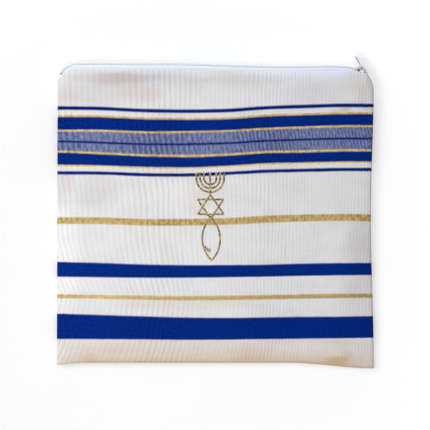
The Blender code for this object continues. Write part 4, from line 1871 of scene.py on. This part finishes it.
@dataclass
class ZipTape:
    """One of the zip's two tapes: a flange under its panel, then a bend up to the coil."""

    form: BagForm
    finish: Material
    name: str
    node: str
    side: int
    thickness: float = 0.55 * MM
    slit: float = 0.8 * MM
    flange: float = 8 * MM
    flange_end: float = 2.2 * MM
    flange_ease: float = 24 * MM
    arc_steps: int = 8
    stations: int = 190
    clear: float = 0.05 * MM
    ripple: float = 0.06 * MM
    ripple_length: float = 6.3 * MM
    crowding: float = 0.9
    flange_shares: Numbers = (1.0, 0.75, 0.5, 0.25)
    flat: tuple[float, float] = (0.280, 0.014)

    def sections(self) -> Field:
        """The tape's sections, closer together where the zip bends at its ends.

        Returns:
            Points, stations by ring by 3: the outer face, then the inner face back.
        """
        outline = self.form.outline
        share = np.linspace(0.0, 1.0, self.stations)
        share = share - self.crowding * np.sin(2 * math.pi * share) / (2 * math.pi)
        x = outline.zip_start + share * (outline.zip_end - outline.zip_start)
        edge, out = self.form.zip_frame(x)
        radius = self.form.tape_radius(x) + self.clear
        radius = radius + self.ripple * np.sin(x / self.ripple_length + self.side)
        centre = self.form.crown(x) - radius
        from_end = np.minimum(x - outline.zip_start, outline.zip_end - x)
        ease = smooth(from_end / self.flange_ease)
        flange = self.flange_end + (self.flange - self.flange_end) * ease
        outer, inner = [], []
        for share in self.flange_shares:
            spot = edge + out * (centre - share * flange)[:, None]
            room = self.form.face(self.side, spot[:, 0], spot[:, 1], self.form.cloth, False)
            room = self.side * (room - self.form.zip_mid) - self.form.tape_gap
            lie = np.minimum(radius, room)
            outer.append(spot + self.side * lie[:, None] * UP)
            inner.append(spot + self.side * (lie - self.thickness)[:, None] * UP)
        last = np.arcsin(np.minimum(0.9, self.slit / 2 / radius))
        for step in np.linspace(0.0, 1.0, self.arc_steps + 1):
            turn = math.pi / 2 + (last - math.pi / 2) * step
            for line, reach in ((outer, radius), (inner, radius - self.thickness)):
                forward = out * (centre + reach * np.cos(turn))[:, None]
                line.append(edge + forward + self.side * (reach * np.sin(turn))[:, None] * UP)
        return np.array(outer + inner[::-1]).transpose(1, 0, 2)

    def build(self) -> Object:
        """Returns:
            The finished tape.
        """
        sections = self.sections()
        draft = MeshDraft()
        draft.add_rings(sections)
        piece = round_shading(draft.build(self.name, self.finish))
        self.lay_weave(piece, sections)
        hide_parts(self.node)
        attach(piece, "bag")
        report(piece)
        return piece

    def lay_weave(self, piece: Object, sections: Field) -> None:
        """Writes places along and across the tape into its UV map.

        Args:
            piece: The tape.
            sections: Its sections, in the order of its points.
        """
        half = sections.shape[1] // 2
        steps = np.linalg.norm(np.diff(sections[:, :half], axis=1), axis=2)
        width = np.concatenate([np.zeros((len(sections), 1)), np.cumsum(steps, axis=1)], axis=1)
        width = np.concatenate([width, width[:, ::-1]], axis=1)
        length = np.repeat(sections[:, :1, 0], sections.shape[1], axis=1)
        write_loom(piece.data, length.ravel() / MM, width.ravel() / MM)


# The coil's sizes that its node tree takes in
COIL_SIZES = ("pitch", "steps", "wire", "half_depth", "overlap", "wrap")


class CoilTree(LineTree):
    """Winds two interlocking flat coils along the zip."""

    def __init__(self) -> None:
        """Builds the tree."""
        super().__init__("zip_coil", COIL_SIZES)
        places = self.spaced(self.bench.math("DIVIDE", self.value("pitch"), self.value("steps")))
        self.finish(self.wound(places, 1.0), self.wound(places, -1.0))

    def wound(self, places: Socket, side: float) -> Socket:
        """One tape's coil.

        Args:
            places: Points along the zip.
            side: 1 for the front tape's coil, -1 for the back's.

        Returns:
            The coil's mesh.
        """
        bench = self.bench
        length = bench.add("GeometryNodeSplineParameter").outputs["Length"]
        turns = bench.math("DIVIDE", length, self.value("pitch"))
        phase = bench.mul_add(turns, 2 * math.pi, 0.0 if side > 0 else math.pi)
        half_width = bench.attribute("half_width", "FLOAT")
        swing = bench.mul(bench.plus(half_width, self.value("overlap")), 0.5)
        middle = bench.sub(half_width, swing)
        across = bench.mul(bench.mul_add(bench.math("COSINE", phase), swing, middle), side)
        outward = bench.mul(bench.math("SINE", phase), self.value("half_depth"))
        drop = bench.mul(bench.mul(across, across), self.value("wrap"))
        tangent = bench.add("GeometryNodeInputTangent").outputs[0]
        out = bench.vectors("CROSS_PRODUCT", {0: (0.0, 0.0, 1.0), 1: tangent})
        push = bench.vectors("SCALE", {0: out, "Scale": bench.sub(outward, drop)})
        offset = bench.vectors("ADD", {0: push, 1: bench.vector(0.0, 0.0, across)})
        moved = bench.add("GeometryNodeSetPosition", {0: places, "Offset": offset})
        return self.swept(moved.outputs[0], self.circle(6, self.value("wire")))


@dataclass
class ZipCoil:
    """The closed nylon coil on the zip's crown."""

    form: BagForm
    finish: Material
    start: float = -139.9 * MM
    end: float = 133.2 * MM
    least_width: float = 0.25 * MM
    pitch: float = 1.0 * MM
    steps: float = 10.0
    wire: float = 0.47 * MM
    half_depth: float = 0.28 * MM
    half_width: float = 2.15 * MM
    overlap: float = 0.42 * MM
    seat: float = 0.08 * MM
    wrap: float = 230.0
    seam_place: float = 0.62
    points: int = 300

    @property
    def height(self) -> float:
        """How far the coil stands out of the tape."""
        return self.seat + 2 * self.wire + 2 * self.half_depth

    def line(self, out_by: float) -> tuple[Field, Field]:
        """A line along the zip's crown.

        Args:
            out_by: How far the line stands out of the tape.

        Returns:
            The line's points, and the places along the zip.
        """
        x = np.linspace(self.start, self.end, self.points)
        edge, out = self.form.zip_frame(x)
        return edge + out * (self.form.crown(x) + out_by)[:, None], x

    def build(self) -> Object:
        """Makes the coil, which stands for the chain.

        Returns:
            The finished coil.
        """
        line, x = self.line(self.seat + self.wire + self.half_depth)
        half = np.minimum(self.half_width, self.form.tape_radius(x)) - self.wire
        half = np.maximum(half, self.least_width)
        source = polylines("coil_line", [line], ("half_width", half))
        values = {size: getattr(self, size) for size in COIL_SIZES}
        piece = CoilTree().run(source, "coil", {**values, "material": self.finish})
        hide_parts("zip_chain")
        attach(piece, "bag")
        report(piece)
        return piece

    def seam_lines(self) -> list[SewnLine]:
        """The stitches that hold the two coils to their tapes.

        Returns:
            Their two lines.
        """
        line, x = self.line(self.height)
        out = self.form.zip_frame(x)[1]
        half = np.minimum(self.half_width, self.form.tape_radius(x))
        half = np.maximum(half, self.wire) * self.seam_place
        line = line - out * (self.wrap * half**2)[:, None]
        return [SewnLine(line + side * half[:, None] * UP, out) for side in (1, -1)]


def rounded_outline(
    x_range: tuple[float, float], z_range: tuple[float, float], radius: float, steps: int = 4
) -> Path:
    """A rectangle with round corners.

    Args:
        x_range: Its lowest and highest x.
        z_range: Its lowest and highest z.
        radius: The corners' radius.
        steps: Steps in each corner.

    Returns:
        The outline's points, anticlockwise.
    """
    (x0, x1), (z0, z1) = x_range, z_range
    x0, x1, z0, z1 = x0 + radius, x1 - radius, z0 + radius, z1 - radius
    points = []
    for quarter, (cx, cz) in enumerate(((x1, z1), (x0, z1), (x0, z0), (x1, z0))):
        for step in range(steps + 1):
            angle = (quarter + step / steps) * math.pi / 2
            points.append((cx + radius * math.cos(angle), cz + radius * math.sin(angle)))
    return points


def soft_plate(draft: MeshDraft, outline: Path, low: float, high: float, bevel: float) -> None:
    """Adds a plate with rounded edges, its outline in x and z and its thickness along y.

    Args:
        draft: The draft to add to.
        outline: The plate's outline, anticlockwise.
        low: Its lower face's y.
        high: Its upper face's y.
        bevel: Its edges' radius.
    """
    points = np.array(outline)
    ahead = np.roll(points, -1, axis=0) - points
    ahead /= np.linalg.norm(ahead, axis=1, keepdims=True)
    normal = np.stack([-ahead[:, 1], ahead[:, 0]], axis=1)
    inward = normal + np.roll(normal, 1, axis=0)
    inward /= np.maximum((inward * inward).sum(axis=1, keepdims=True) / 2, 1e-9)
    rings = []
    turns = np.linspace(0.0, math.pi / 2, 4)
    for face, side, steps in ((low, 1, turns), (high, -1, turns[::-1])):
        for turn in steps:
            y = face + side * bevel * (1 - math.cos(turn))
            rings.append([(x, y, z) for x, z in points + inward * bevel * (1 - math.sin(turn))])
    draft.add_rings(np.array(rings))


@dataclass(frozen=True)
class Plate:
    """A plain part of the slider: its low and high x, z and y, its corners and edges."""

    x: tuple[float, float]
    z: tuple[float, float]
    y: tuple[float, float]
    corner: float
    bevel: float


@dataclass
class ZipSlider:
    """The nickel slider: plate, arch, and the flanges, post and inner plate as parts (mm)."""

    form: BagForm
    finish: Material
    place_x: float = 133 * MM
    sunk: float = 0.7 * MM
    plate_length: float = 10.4 * MM
    plate_width: float = 7.0 * MM
    plate_low: float = 2.6 * MM
    plate_high: float = 3.5 * MM
    plate_corner: float = 1.9 * MM
    nose_width: float = 5.6 * MM
    parts: tuple[Plate, ...] = (
        Plate((-3.8, 3.2), (2.7, 3.5), (-0.15, 2.9), 0.3, 0.14),
        Plate((-3.8, 3.2), (-3.5, -2.7), (-0.15, 2.9), 0.3, 0.14),
        Plate((1.1, 3.4), (-0.5, 0.5), (-2.3, 2.9), 0.35, 0.05),
        Plate((-3.4, 3.1), (-1.4, 1.4), (-2.6, -1.8), 0.9, 0.2),
    )
    arch_half_span: float = 3.0 * MM
    arch_width: float = 1.5 * MM
    arch_thickness: float = 0.8 * MM
    arch_clear: float = 1.5 * MM
    arch_cut: float = 0.2 * MM
    arch_steps: int = 20
    join: float = 0.3 * MM
    bevel: float = 0.24 * MM
    pivot_along: float = 0.4 * MM

    def seat(self) -> Matrix:
        """The slider's own axes in the frame: x along the zip, y out, z across.

        Returns:
            The slider's place.
        """
        x = np.array([self.place_x])
        edge, out = self.form.zip_frame(x)
        spot = Vector(edge[0] + out[0] * (float(self.form.crown(x)[0]) - self.sunk))
        heading = math.atan2(-out[0][0], out[0][1])
        return Matrix.Translation(spot) @ Matrix.Rotation(heading, 4, "Z")

    def pivot(self) -> Vector:
        """The tab's turning point, in the slider's own axes."""
        return Vector((self.pivot_along, self.plate_high + self.arch_clear / 2, 0.0))

    def plate_outline(self) -> Path:
        """The outer plate's outline, a little narrower at the end that leads.

        Returns:
            The outline's points, anticlockwise.
        """
        half_length, half_width = self.plate_length / 2, self.plate_width / 2
        points = rounded_outline(
            (-half_length, half_length), (-half_width, half_width), self.plate_corner, 6
        )
        narrow = self.nose_width / self.plate_width
        tapered = []
        for x, z in points:
            share = float(smooth(np.array((-x - 0.1 * half_length) / half_length)))
            tapered.append((x, z * (1 + (narrow - 1) * share)))
        return tapered

    def add_arch(self, draft: MeshDraft) -> None:
        """Adds the arch, a softly rounded band over the plate from end to end.

        Args:
            draft: The draft to add to.
        """
        crown = self.plate_high + self.arch_clear + self.arch_thickness
        foot = self.plate_high - self.join
        half, flat = self.arch_width / 2, self.arch_width / 2 - self.arch_cut
        cut = self.arch_cut / self.arch_thickness
        section = [(0.0, -flat), (0.0, flat), (cut, half), (1 - cut, half)]
        section += [(1.0, flat), (1.0, -flat), (1 - cut, -half), (cut, -half)]
        rings = []
        for turn in np.linspace(math.pi, 0.0, self.arch_steps + 1):
            lift = math.sin(turn) ** 0.7 if math.sin(turn) > 1e-9 else 0.0
            insets = [(depth * self.arch_thickness, z) for depth, z in section]
            ring = [
                ((self.arch_half_span - by) * math.cos(turn), foot + (crown - foot - by) * lift, z)
                for by, z in insets
            ]
            rings.append(ring)
        draft.add_rings(np.array(rings))

    def build(self) -> Object:
        """Makes the slider, which stands for its node.

        Returns:
            The finished slider.
        """
        draft = MeshDraft()
        soft_plate(draft, self.plate_outline(), self.plate_low, self.plate_high, self.bevel)
        for part in self.parts:
            x, z, y = (tuple(end * MM for end in ends) for ends in (part.x, part.z, part.y))
            outline = rounded_outline(x, z, part.corner * MM)
            soft_plate(draft, outline, *y, part.bevel * MM)
        self.add_arch(draft)
        piece = round_shading(draft.build("slider", self.finish, self.seat()), 50)
        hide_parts("zip_slider")
        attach(piece, "bag")
        report(piece)
        return piece


@dataclass
class PullTab:
    """The nickel tab, with a window for the slider's arch; its neck is in millimetres."""

    slider: ZipSlider
    finish: Material
    thickness: float = 0.84 * MM
    length: float = 12.6 * MM
    eye_width: float = 4.2 * MM
    width: float = 5.2 * MM
    tip_width: float = 3.4 * MM
    window_width: float = 2.3 * MM
    window_end: float = 4.1 * MM
    nick: float = 0.3 * MM
    neck_from: float = -0.8
    neck_length: float = 2.2
    tip_length: float = 2.6 * MM
    window_corner: float = 0.5 * MM
    bevel: float = 0.18 * MM
    rest_deg: float = 130.0

    def outline(self) -> Path:
        """The tab's outline in its own x and z, anticlockwise.

        Returns:
            The outline's points.
        """
        bar = -self.thickness / 2
        eye, half = self.eye_width / 2, self.width / 2
        lower = [(bar, -eye + self.nick), (bar + self.nick, -eye)]
        lower.append((self.window_end + self.neck_from * MM, -eye))
        for step in np.linspace(0.0, 1.0, 5)[1:]:
            share = float(smooth(np.array(step)))
            x = self.window_end + (self.neck_from + self.neck_length * step) * MM
            lower.append((x, -eye - (half - eye) * share))
        tip_start = self.length - self.tip_length
        for step in np.linspace(0.0, math.pi / 2, 8):
            x = tip_start + self.tip_length * math.sin(step)
            z = self.tip_width / 4 + (half - self.tip_width / 4) * math.cos(step)
            lower.append((x, -z))
        upper = [(x, -z) for x, z in reversed(lower)]
        return lower + upper

    def build(self) -> Object:
        """Makes the tab, which stands for its node and turns with its body.

        Returns:
            The finished tab.
        """
        flat = self.thickness / 2
        draft = MeshDraft()
        outline = self.outline()
        draft.add_rings(np.array([[(x, y, z) for x, z in outline] for y in (-flat, flat)]))
        body = draft.build("tab_body", self.finish)
        window = MeshDraft()
        half = self.window_width / 2
        hole = rounded_outline((flat, self.window_end), (-half, half), self.window_corner)
        depths = (-2 * self.thickness, 2 * self.thickness)
        window.add_rings(np.array([[(x, y, z) for x, z in hole] for y in depths]))
        cutter = window.build("tab_window", self.finish)
        cut = body.modifiers.new("cut the window", "BOOLEAN")
        cut.operation = "DIFFERENCE"
        cut.solver = "EXACT"
        cut.object = cutter
        soften = body.modifiers.new("soften the edges", "BEVEL")
        soften.width = self.bevel
        soften.segments = 3
        soften.limit_method = "ANGLE"
        soften.angle_limit = math.radians(50)
        piece = baked(body, "tab")
        bpy.data.objects.remove(cutter)
        turn = Matrix.Rotation(math.radians(self.rest_deg), 4, "Z")
        piece.data.transform(self.slider.seat() @ Matrix.Translation(self.slider.pivot()) @ turn)
        round_shading(piece, 50)
        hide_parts("pull_tab")
        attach(piece, "pull_tab")
        report(piece)
        return piece


# The emblem


@dataclass
class Emblem:
    """A lampstand, a six-pointed star and a fish, in one column of satin stitch (mm)."""

    form: BagForm
    thread: Material
    x: float = -4.0
    lean: float = -0.018
    lamp_y: float = 34.4
    lamp_radii: Numbers = (5.6, 9.1, 12.6)
    lamp_top: float = 38.4
    stem_below: float = 1.2
    flame: Numbers = (-0.2, -1.6, 0.35, 1.1)
    star_half: float = 11.7
    star_top: float = 19.6
    star_bar_high: float = 15.2
    star_bar_low: float = 1.8
    star_bottom: float = -2.4
    fish_top: float = -1.2
    fish_tip: float = -40.0
    fish_half: float = 8.1
    nose: tuple[float, float] = (0.9, 0.8)
    eye_x: Numbers = (-5.6, -4.3, -3.2, -1.9, -1.1, -1.5, -2.4)
    eye_y: Numbers = (-27.4, -29.5, -31.3, -32.1, -31.3, -30.0, -29.7)
    step: float = 0.5
    seat: float = 0.10

    def dense(self, corners: Path) -> SewnLine:
        """A line through corners, with points close enough to follow the cloth.

        Args:
            corners: Points in the emblem's own x and the bag's y.

        Returns:
            The line in the frame, in metres.
        """
        points = [np.array(corners[0])]
        for a, b in zip(corners, corners[1:]):
            a, b = np.array(a), np.array(b)
            count = max(1, round(float(np.linalg.norm(b - a)) / self.step))
            points += [a + (b - a) * k / count for k in range(1, count + 1)]
        flat = np.array(points)
        x = (flat[:, 0] + self.x + self.lean * flat[:, 1]) * MM
        y = flat[:, 1] * MM
        z = self.form.face(1, x, y) + self.seat * MM
        return SewnLine(np.stack([x, y, z], axis=-1), UP)

    def lampstand(self) -> list[Path]:
        """Three nested branches and a stem, each ending in a small flame.

        Returns:
            The strokes' corners.
        """
        strokes = []
        for radius in self.lamp_radii:
            arc = [(-radius, self.lamp_top)]
            for turn in np.linspace(math.pi, 2 * math.pi, 25):
                arc.append((radius * math.cos(turn), self.lamp_y + radius * math.sin(turn)))
            arc.append((radius, self.lamp_top))
            strokes.append(arc)
        base = self.lamp_y - self.lamp_radii[-1] - self.stem_below
        strokes.append([(0.0, self.lamp_top), (0.0, base)])
        low_x, low_y, high_x, high_y = self.flame
        for radius in (0.0, *self.lamp_radii):
            for side in (1, -1) if radius else (1,):
                foot = (side * radius + low_x, self.lamp_top + low_y)
                strokes.append([foot, (side * radius + high_x, self.lamp_top + high_y)])
        return strokes

    def star(self) -> list[Path]:
        """Two crossed triangles.

        Returns:
            The strokes' corners.
        """
        half = self.star_half
        up = [(0.0, self.star_top), (half, self.star_bar_low), (-half, self.star_bar_low)]
        down = [(0.0, self.star_bottom), (-half, self.star_bar_high), (half, self.star_bar_high)]
        return [[*corners, corners[0]] for corners in (up, down)]

    def fish(self) -> list[Path]:
        """Two arcs that meet at the nose, and a small hooked eye.

        Returns:
            The strokes' corners.
        """
        half_length = (self.fish_top - self.fish_tip) / 2
        middle = (self.fish_top + self.fish_tip) / 2
        radius = (half_length**2 + self.fish_half**2) / (2 * self.fish_half)
        reach = math.asin(half_length / radius)
        strokes = []
        for side in (1, -1):
            arc = []
            for turn in np.linspace(-reach, reach, 33):
                x = radius * math.cos(turn) - (radius - self.fish_half)
                arc.append((side * x, middle - radius * math.sin(turn)))
            arc[0] = (-side * self.nose[0], self.fish_top + self.nose[1])
            strokes.append(arc)
        strokes.append(list(zip(self.eye_x, self.eye_y)))
        return strokes

    def build(self, tree: StitchTree) -> Object:
        """Embroiders the emblem with the tree that sews."""
        lines = [self.dense(stroke) for stroke in self.lampstand() + self.star() + self.fish()]
        return tree.sew("emblem", lines, SATIN, self.thread)


@dataclass
class ZipSewing:
    """The stitches that hold the zip in the bag and close its ends."""

    form: BagForm
    coil: ZipCoil
    thread: Material
    below: float = 2.4 * MM
    start: float = -127 * MM
    end: float = 124 * MM
    seat: float = 0.05 * MM
    coil_tack: float = -137.4 * MM
    tape_tack: float = 137.2 * MM
    coil_tack_sunk: float = 0.3 * MM
    tape_tack_out: float = 0.1 * MM
    tack_length: float = 1.8 * MM
    points: int = 500

    def panel_line(self, side: int) -> SewnLine:
        """The line of top stitches below a panel's folded edge.

        Args:
            side: 1 for the front panel, -1 for the back.

        Returns:
            The line.
        """
        x = np.linspace(self.start, self.end, self.points)
        y = self.form.outline.top(x) - self.below
        z = self.form.face(side, x, y) + side * self.seat
        return SewnLine(np.stack([x, y, z], axis=-1), np.array([0.0, 0.0, float(side)]))

    def tack_line(self, place: float, out_by: float) -> SewnLine:
        """A short line along the zip's crown, for a bar tack.

        Args:
            place: The tack's place along the zip.
            out_by: How far it lies out of the tape.

        Returns:
            The line.
        """
        x = np.linspace(place - self.tack_length / 2, place + self.tack_length / 2, 6)
        edge, out = self.form.zip_frame(x)
        return SewnLine(edge + out * (self.form.crown(x) + out_by)[:, None], out)

    def build(self, tree: StitchTree) -> list[Object]:
        """Sews the zip in.

        Args:
            tree: The tree that sews.

        Returns:
            The front and back rows of top stitches.
        """
        rows = [
            tree.sew(f"zip_stitches_{name}", [self.panel_line(side)], RUNNING, self.thread)
            for name, side in (("front", 1), ("back", -1))
        ]
        tree.sew("coil_stitches", self.coil.seam_lines(), COIL_SEAM, self.thread)
        tacks = [
            self.tack_line(self.coil_tack, self.coil.height - self.coil_tack_sunk),
            self.tack_line(self.tape_tack, self.tape_tack_out),
        ]
        tree.sew("bar_tacks", tacks, BAR_TACK, self.thread)
        return rows


# The bag and its studio


@dataclass(frozen=True)
class TallitBag:
    """The whole bag, built piece by piece round its frame."""

    form: BagForm = BagForm()
    lay: WeaveLay = WeaveLay()

    def build(self) -> None:
        """Builds every piece of the bag."""
        made = make_finishes()
        cloth = (self.form, self.lay, made.cloth)
        front = ClothPanel(*cloth, 1, "cloth_front", "front_panel", FRONT_NEAR, 180, 164).build()
        back = ClothPanel(*cloth, -1, "cloth_back", "back_panel", BACK_NEAR, 90, 84).build()
        ZipTape(self.form, made.tape, "tape_front", "zip_tape_front", 1).build()
        ZipTape(self.form, made.tape, "tape_back", "zip_tape_back", -1).build()
        coil = ZipCoil(self.form, made.nylon)
        coil.build()
        slider = ZipSlider(self.form, made.nickel)
        slider.build()
        PullTab(slider, made.nickel).build()
        tree = StitchTree()
        emblem = Emblem(self.form, made.gold_thread).build(tree)
        rows = ZipSewing(self.form, coil, made.white_thread).build(tree)


@dataclass(frozen=True)
class SoftLight:
    """A rectangular lamp that looks at a point."""

    name: str
    place: tuple[float, float, float]
    target: tuple[float, float, float]
    size: tuple[float, float]
    power: float
    colour: Colour

    def hang(self) -> None:
        """Puts the lamp in the scene."""
        lamp = bpy.data.lights.new(self.name, "AREA")
        lamp.shape = "RECTANGLE"
        lamp.size, lamp.size_y = self.size
        lamp.energy = self.power
        lamp.color = self.colour
        holder = bpy.data.objects.new(self.name, lamp)
        aim = Vector(self.target) - Vector(self.place)
        turn = aim.to_track_quat("-Z", "Y").to_matrix().to_4x4()
        holder.matrix_world = Matrix.Translation(self.place) @ turn
        bpy.context.scene.collection.objects.link(holder)


@dataclass(frozen=True)
class Studio:
    """A pale floor, soft light from the left and a camera straight above."""

    camera_height: float = 1.205
    camera_centre: tuple[float, float] = (-0.0002, 0.0011)
    lens: float = 110.0
    floor_size: float = 6.0
    floor_z: float = -0.0002
    floor_grain: float = 220.0
    floor_colour: Colour = (0.9, 0.9, 0.9)
    glow: Numbers = (0.175, 0.546, -0.013, 1.0, 1.48)
    glow_limits: tuple[float, float] = (0.05, 0.55)
    world_strength: float = 0.40
    lights: tuple[SoftLight, ...] = (
        SoftLight(
            "key", (-0.571, 0.266, 0.493), (0, 0, 0), (0.22, 0.22), 1.68, (1.0, 0.995, 0.99)
        ),
        SoftLight("top", (0.0, 0.60, 0.062), (0, 0.14, 0), (0.60, 0.11), 1.05, (0.86, 0.93, 1.0)),
        SoftLight("overhead", (0, 0, 1.6), (0, 0, 0), (1.0, 1.0), 0.85, (1, 1, 1)),
        SoftLight("fill", (0.177, 0.0, 0.381), (0, 0, 0), (0.25, 0.25), 0.17, (1, 1, 1)),
        SoftLight("left", (-0.159, -0.159, 0.39), (0, 0, 0), (0.22, 0.22), 0.49, (1, 1, 1)),
    )

    def lay_floor(self) -> None:
        """Lays the floor, whose faint glow evens out the lamps' light round the bag."""
        half = self.floor_size / 2
        mesh = bpy.data.meshes.new("floor")
        corners = [(-half, -half), (half, -half), (half, half), (-half, half)]
        mesh.from_pydata([(x, y, self.floor_z) for x, y in corners], [], [(0, 1, 2, 3)])
        material, bench, shader = new_material("pale_floor")
        coords = bench.add("ShaderNodeTexCoord").outputs["Object"]
        grain = bench.noise(coords, self.floor_grain, 2.0)
        x, y, _ = bench.add("ShaderNodeSeparateXYZ", {0: coords}).outputs
        level, tilt_x, tilt_y, curve_x, curve_y = self.glow
        glow = bench.mul_add(x, tilt_x, level)
        glow = bench.mul_add(y, tilt_y, glow)
        glow = bench.mul_add(bench.mul(x, x), curve_x, glow)
        glow = bench.mul_add(bench.mul(y, y), curve_y, glow)
        low, high = self.glow_limits
        glow = bench.math("MAXIMUM", bench.math("MINIMUM", glow, high), low)
        inputs = {
            "Base Color": (*self.floor_colour, 1.0),
            "Roughness": bench.span(grain, 0.3, 0.7, 0.85, 0.95),
            "Specular IOR Level": 0.1,
            "Emission Color": bench.vector(glow, glow, glow),
            "Emission Strength": 1.0,
        }
        bench.give(shader, inputs)
        new_piece("floor", mesh, material)

    def place_camera(self) -> None:
        """Places the camera straight above the bag."""
        camera = bpy.data.cameras.new("camera")
        camera.lens = self.lens
        camera.clip_start, camera.clip_end = 0.01, 20
        holder = bpy.data.objects.new("camera", camera)
        holder.location = (*self.camera_centre, self.camera_height)
        bpy.context.scene.collection.objects.link(holder)
        bpy.context.scene.camera = holder

    def set_world(self) -> None:
        """Sets the even light all round and how the picture is developed."""
        world = bpy.data.worlds.new("studio")
        world.use_nodes = True
        background = world.node_tree.nodes["Background"]
        background.inputs["Color"].default_value = (1.0, 1.0, 1.0, 1.0)
        background.inputs["Strength"].default_value = self.world_strength
        bpy.context.scene.world = world
        view = bpy.context.scene.view_settings
        view.view_transform, view.look = "Standard", "None"
        view.exposure, view.gamma = 0.0, 1.0

    def set_up(self) -> None:
        """Sets up the camera, floor and lights."""
        self.place_camera()
        self.lay_floor()
        self.set_world()
        for light in self.lights:
            light.hang()


def main() -> None:
    """Builds the studio and the bag."""
    logging.basicConfig(level=logging.INFO, format="%(name)s %(message)s")
    Studio().set_up()
    TallitBag().build()


if __name__ == "__main__":
    main()
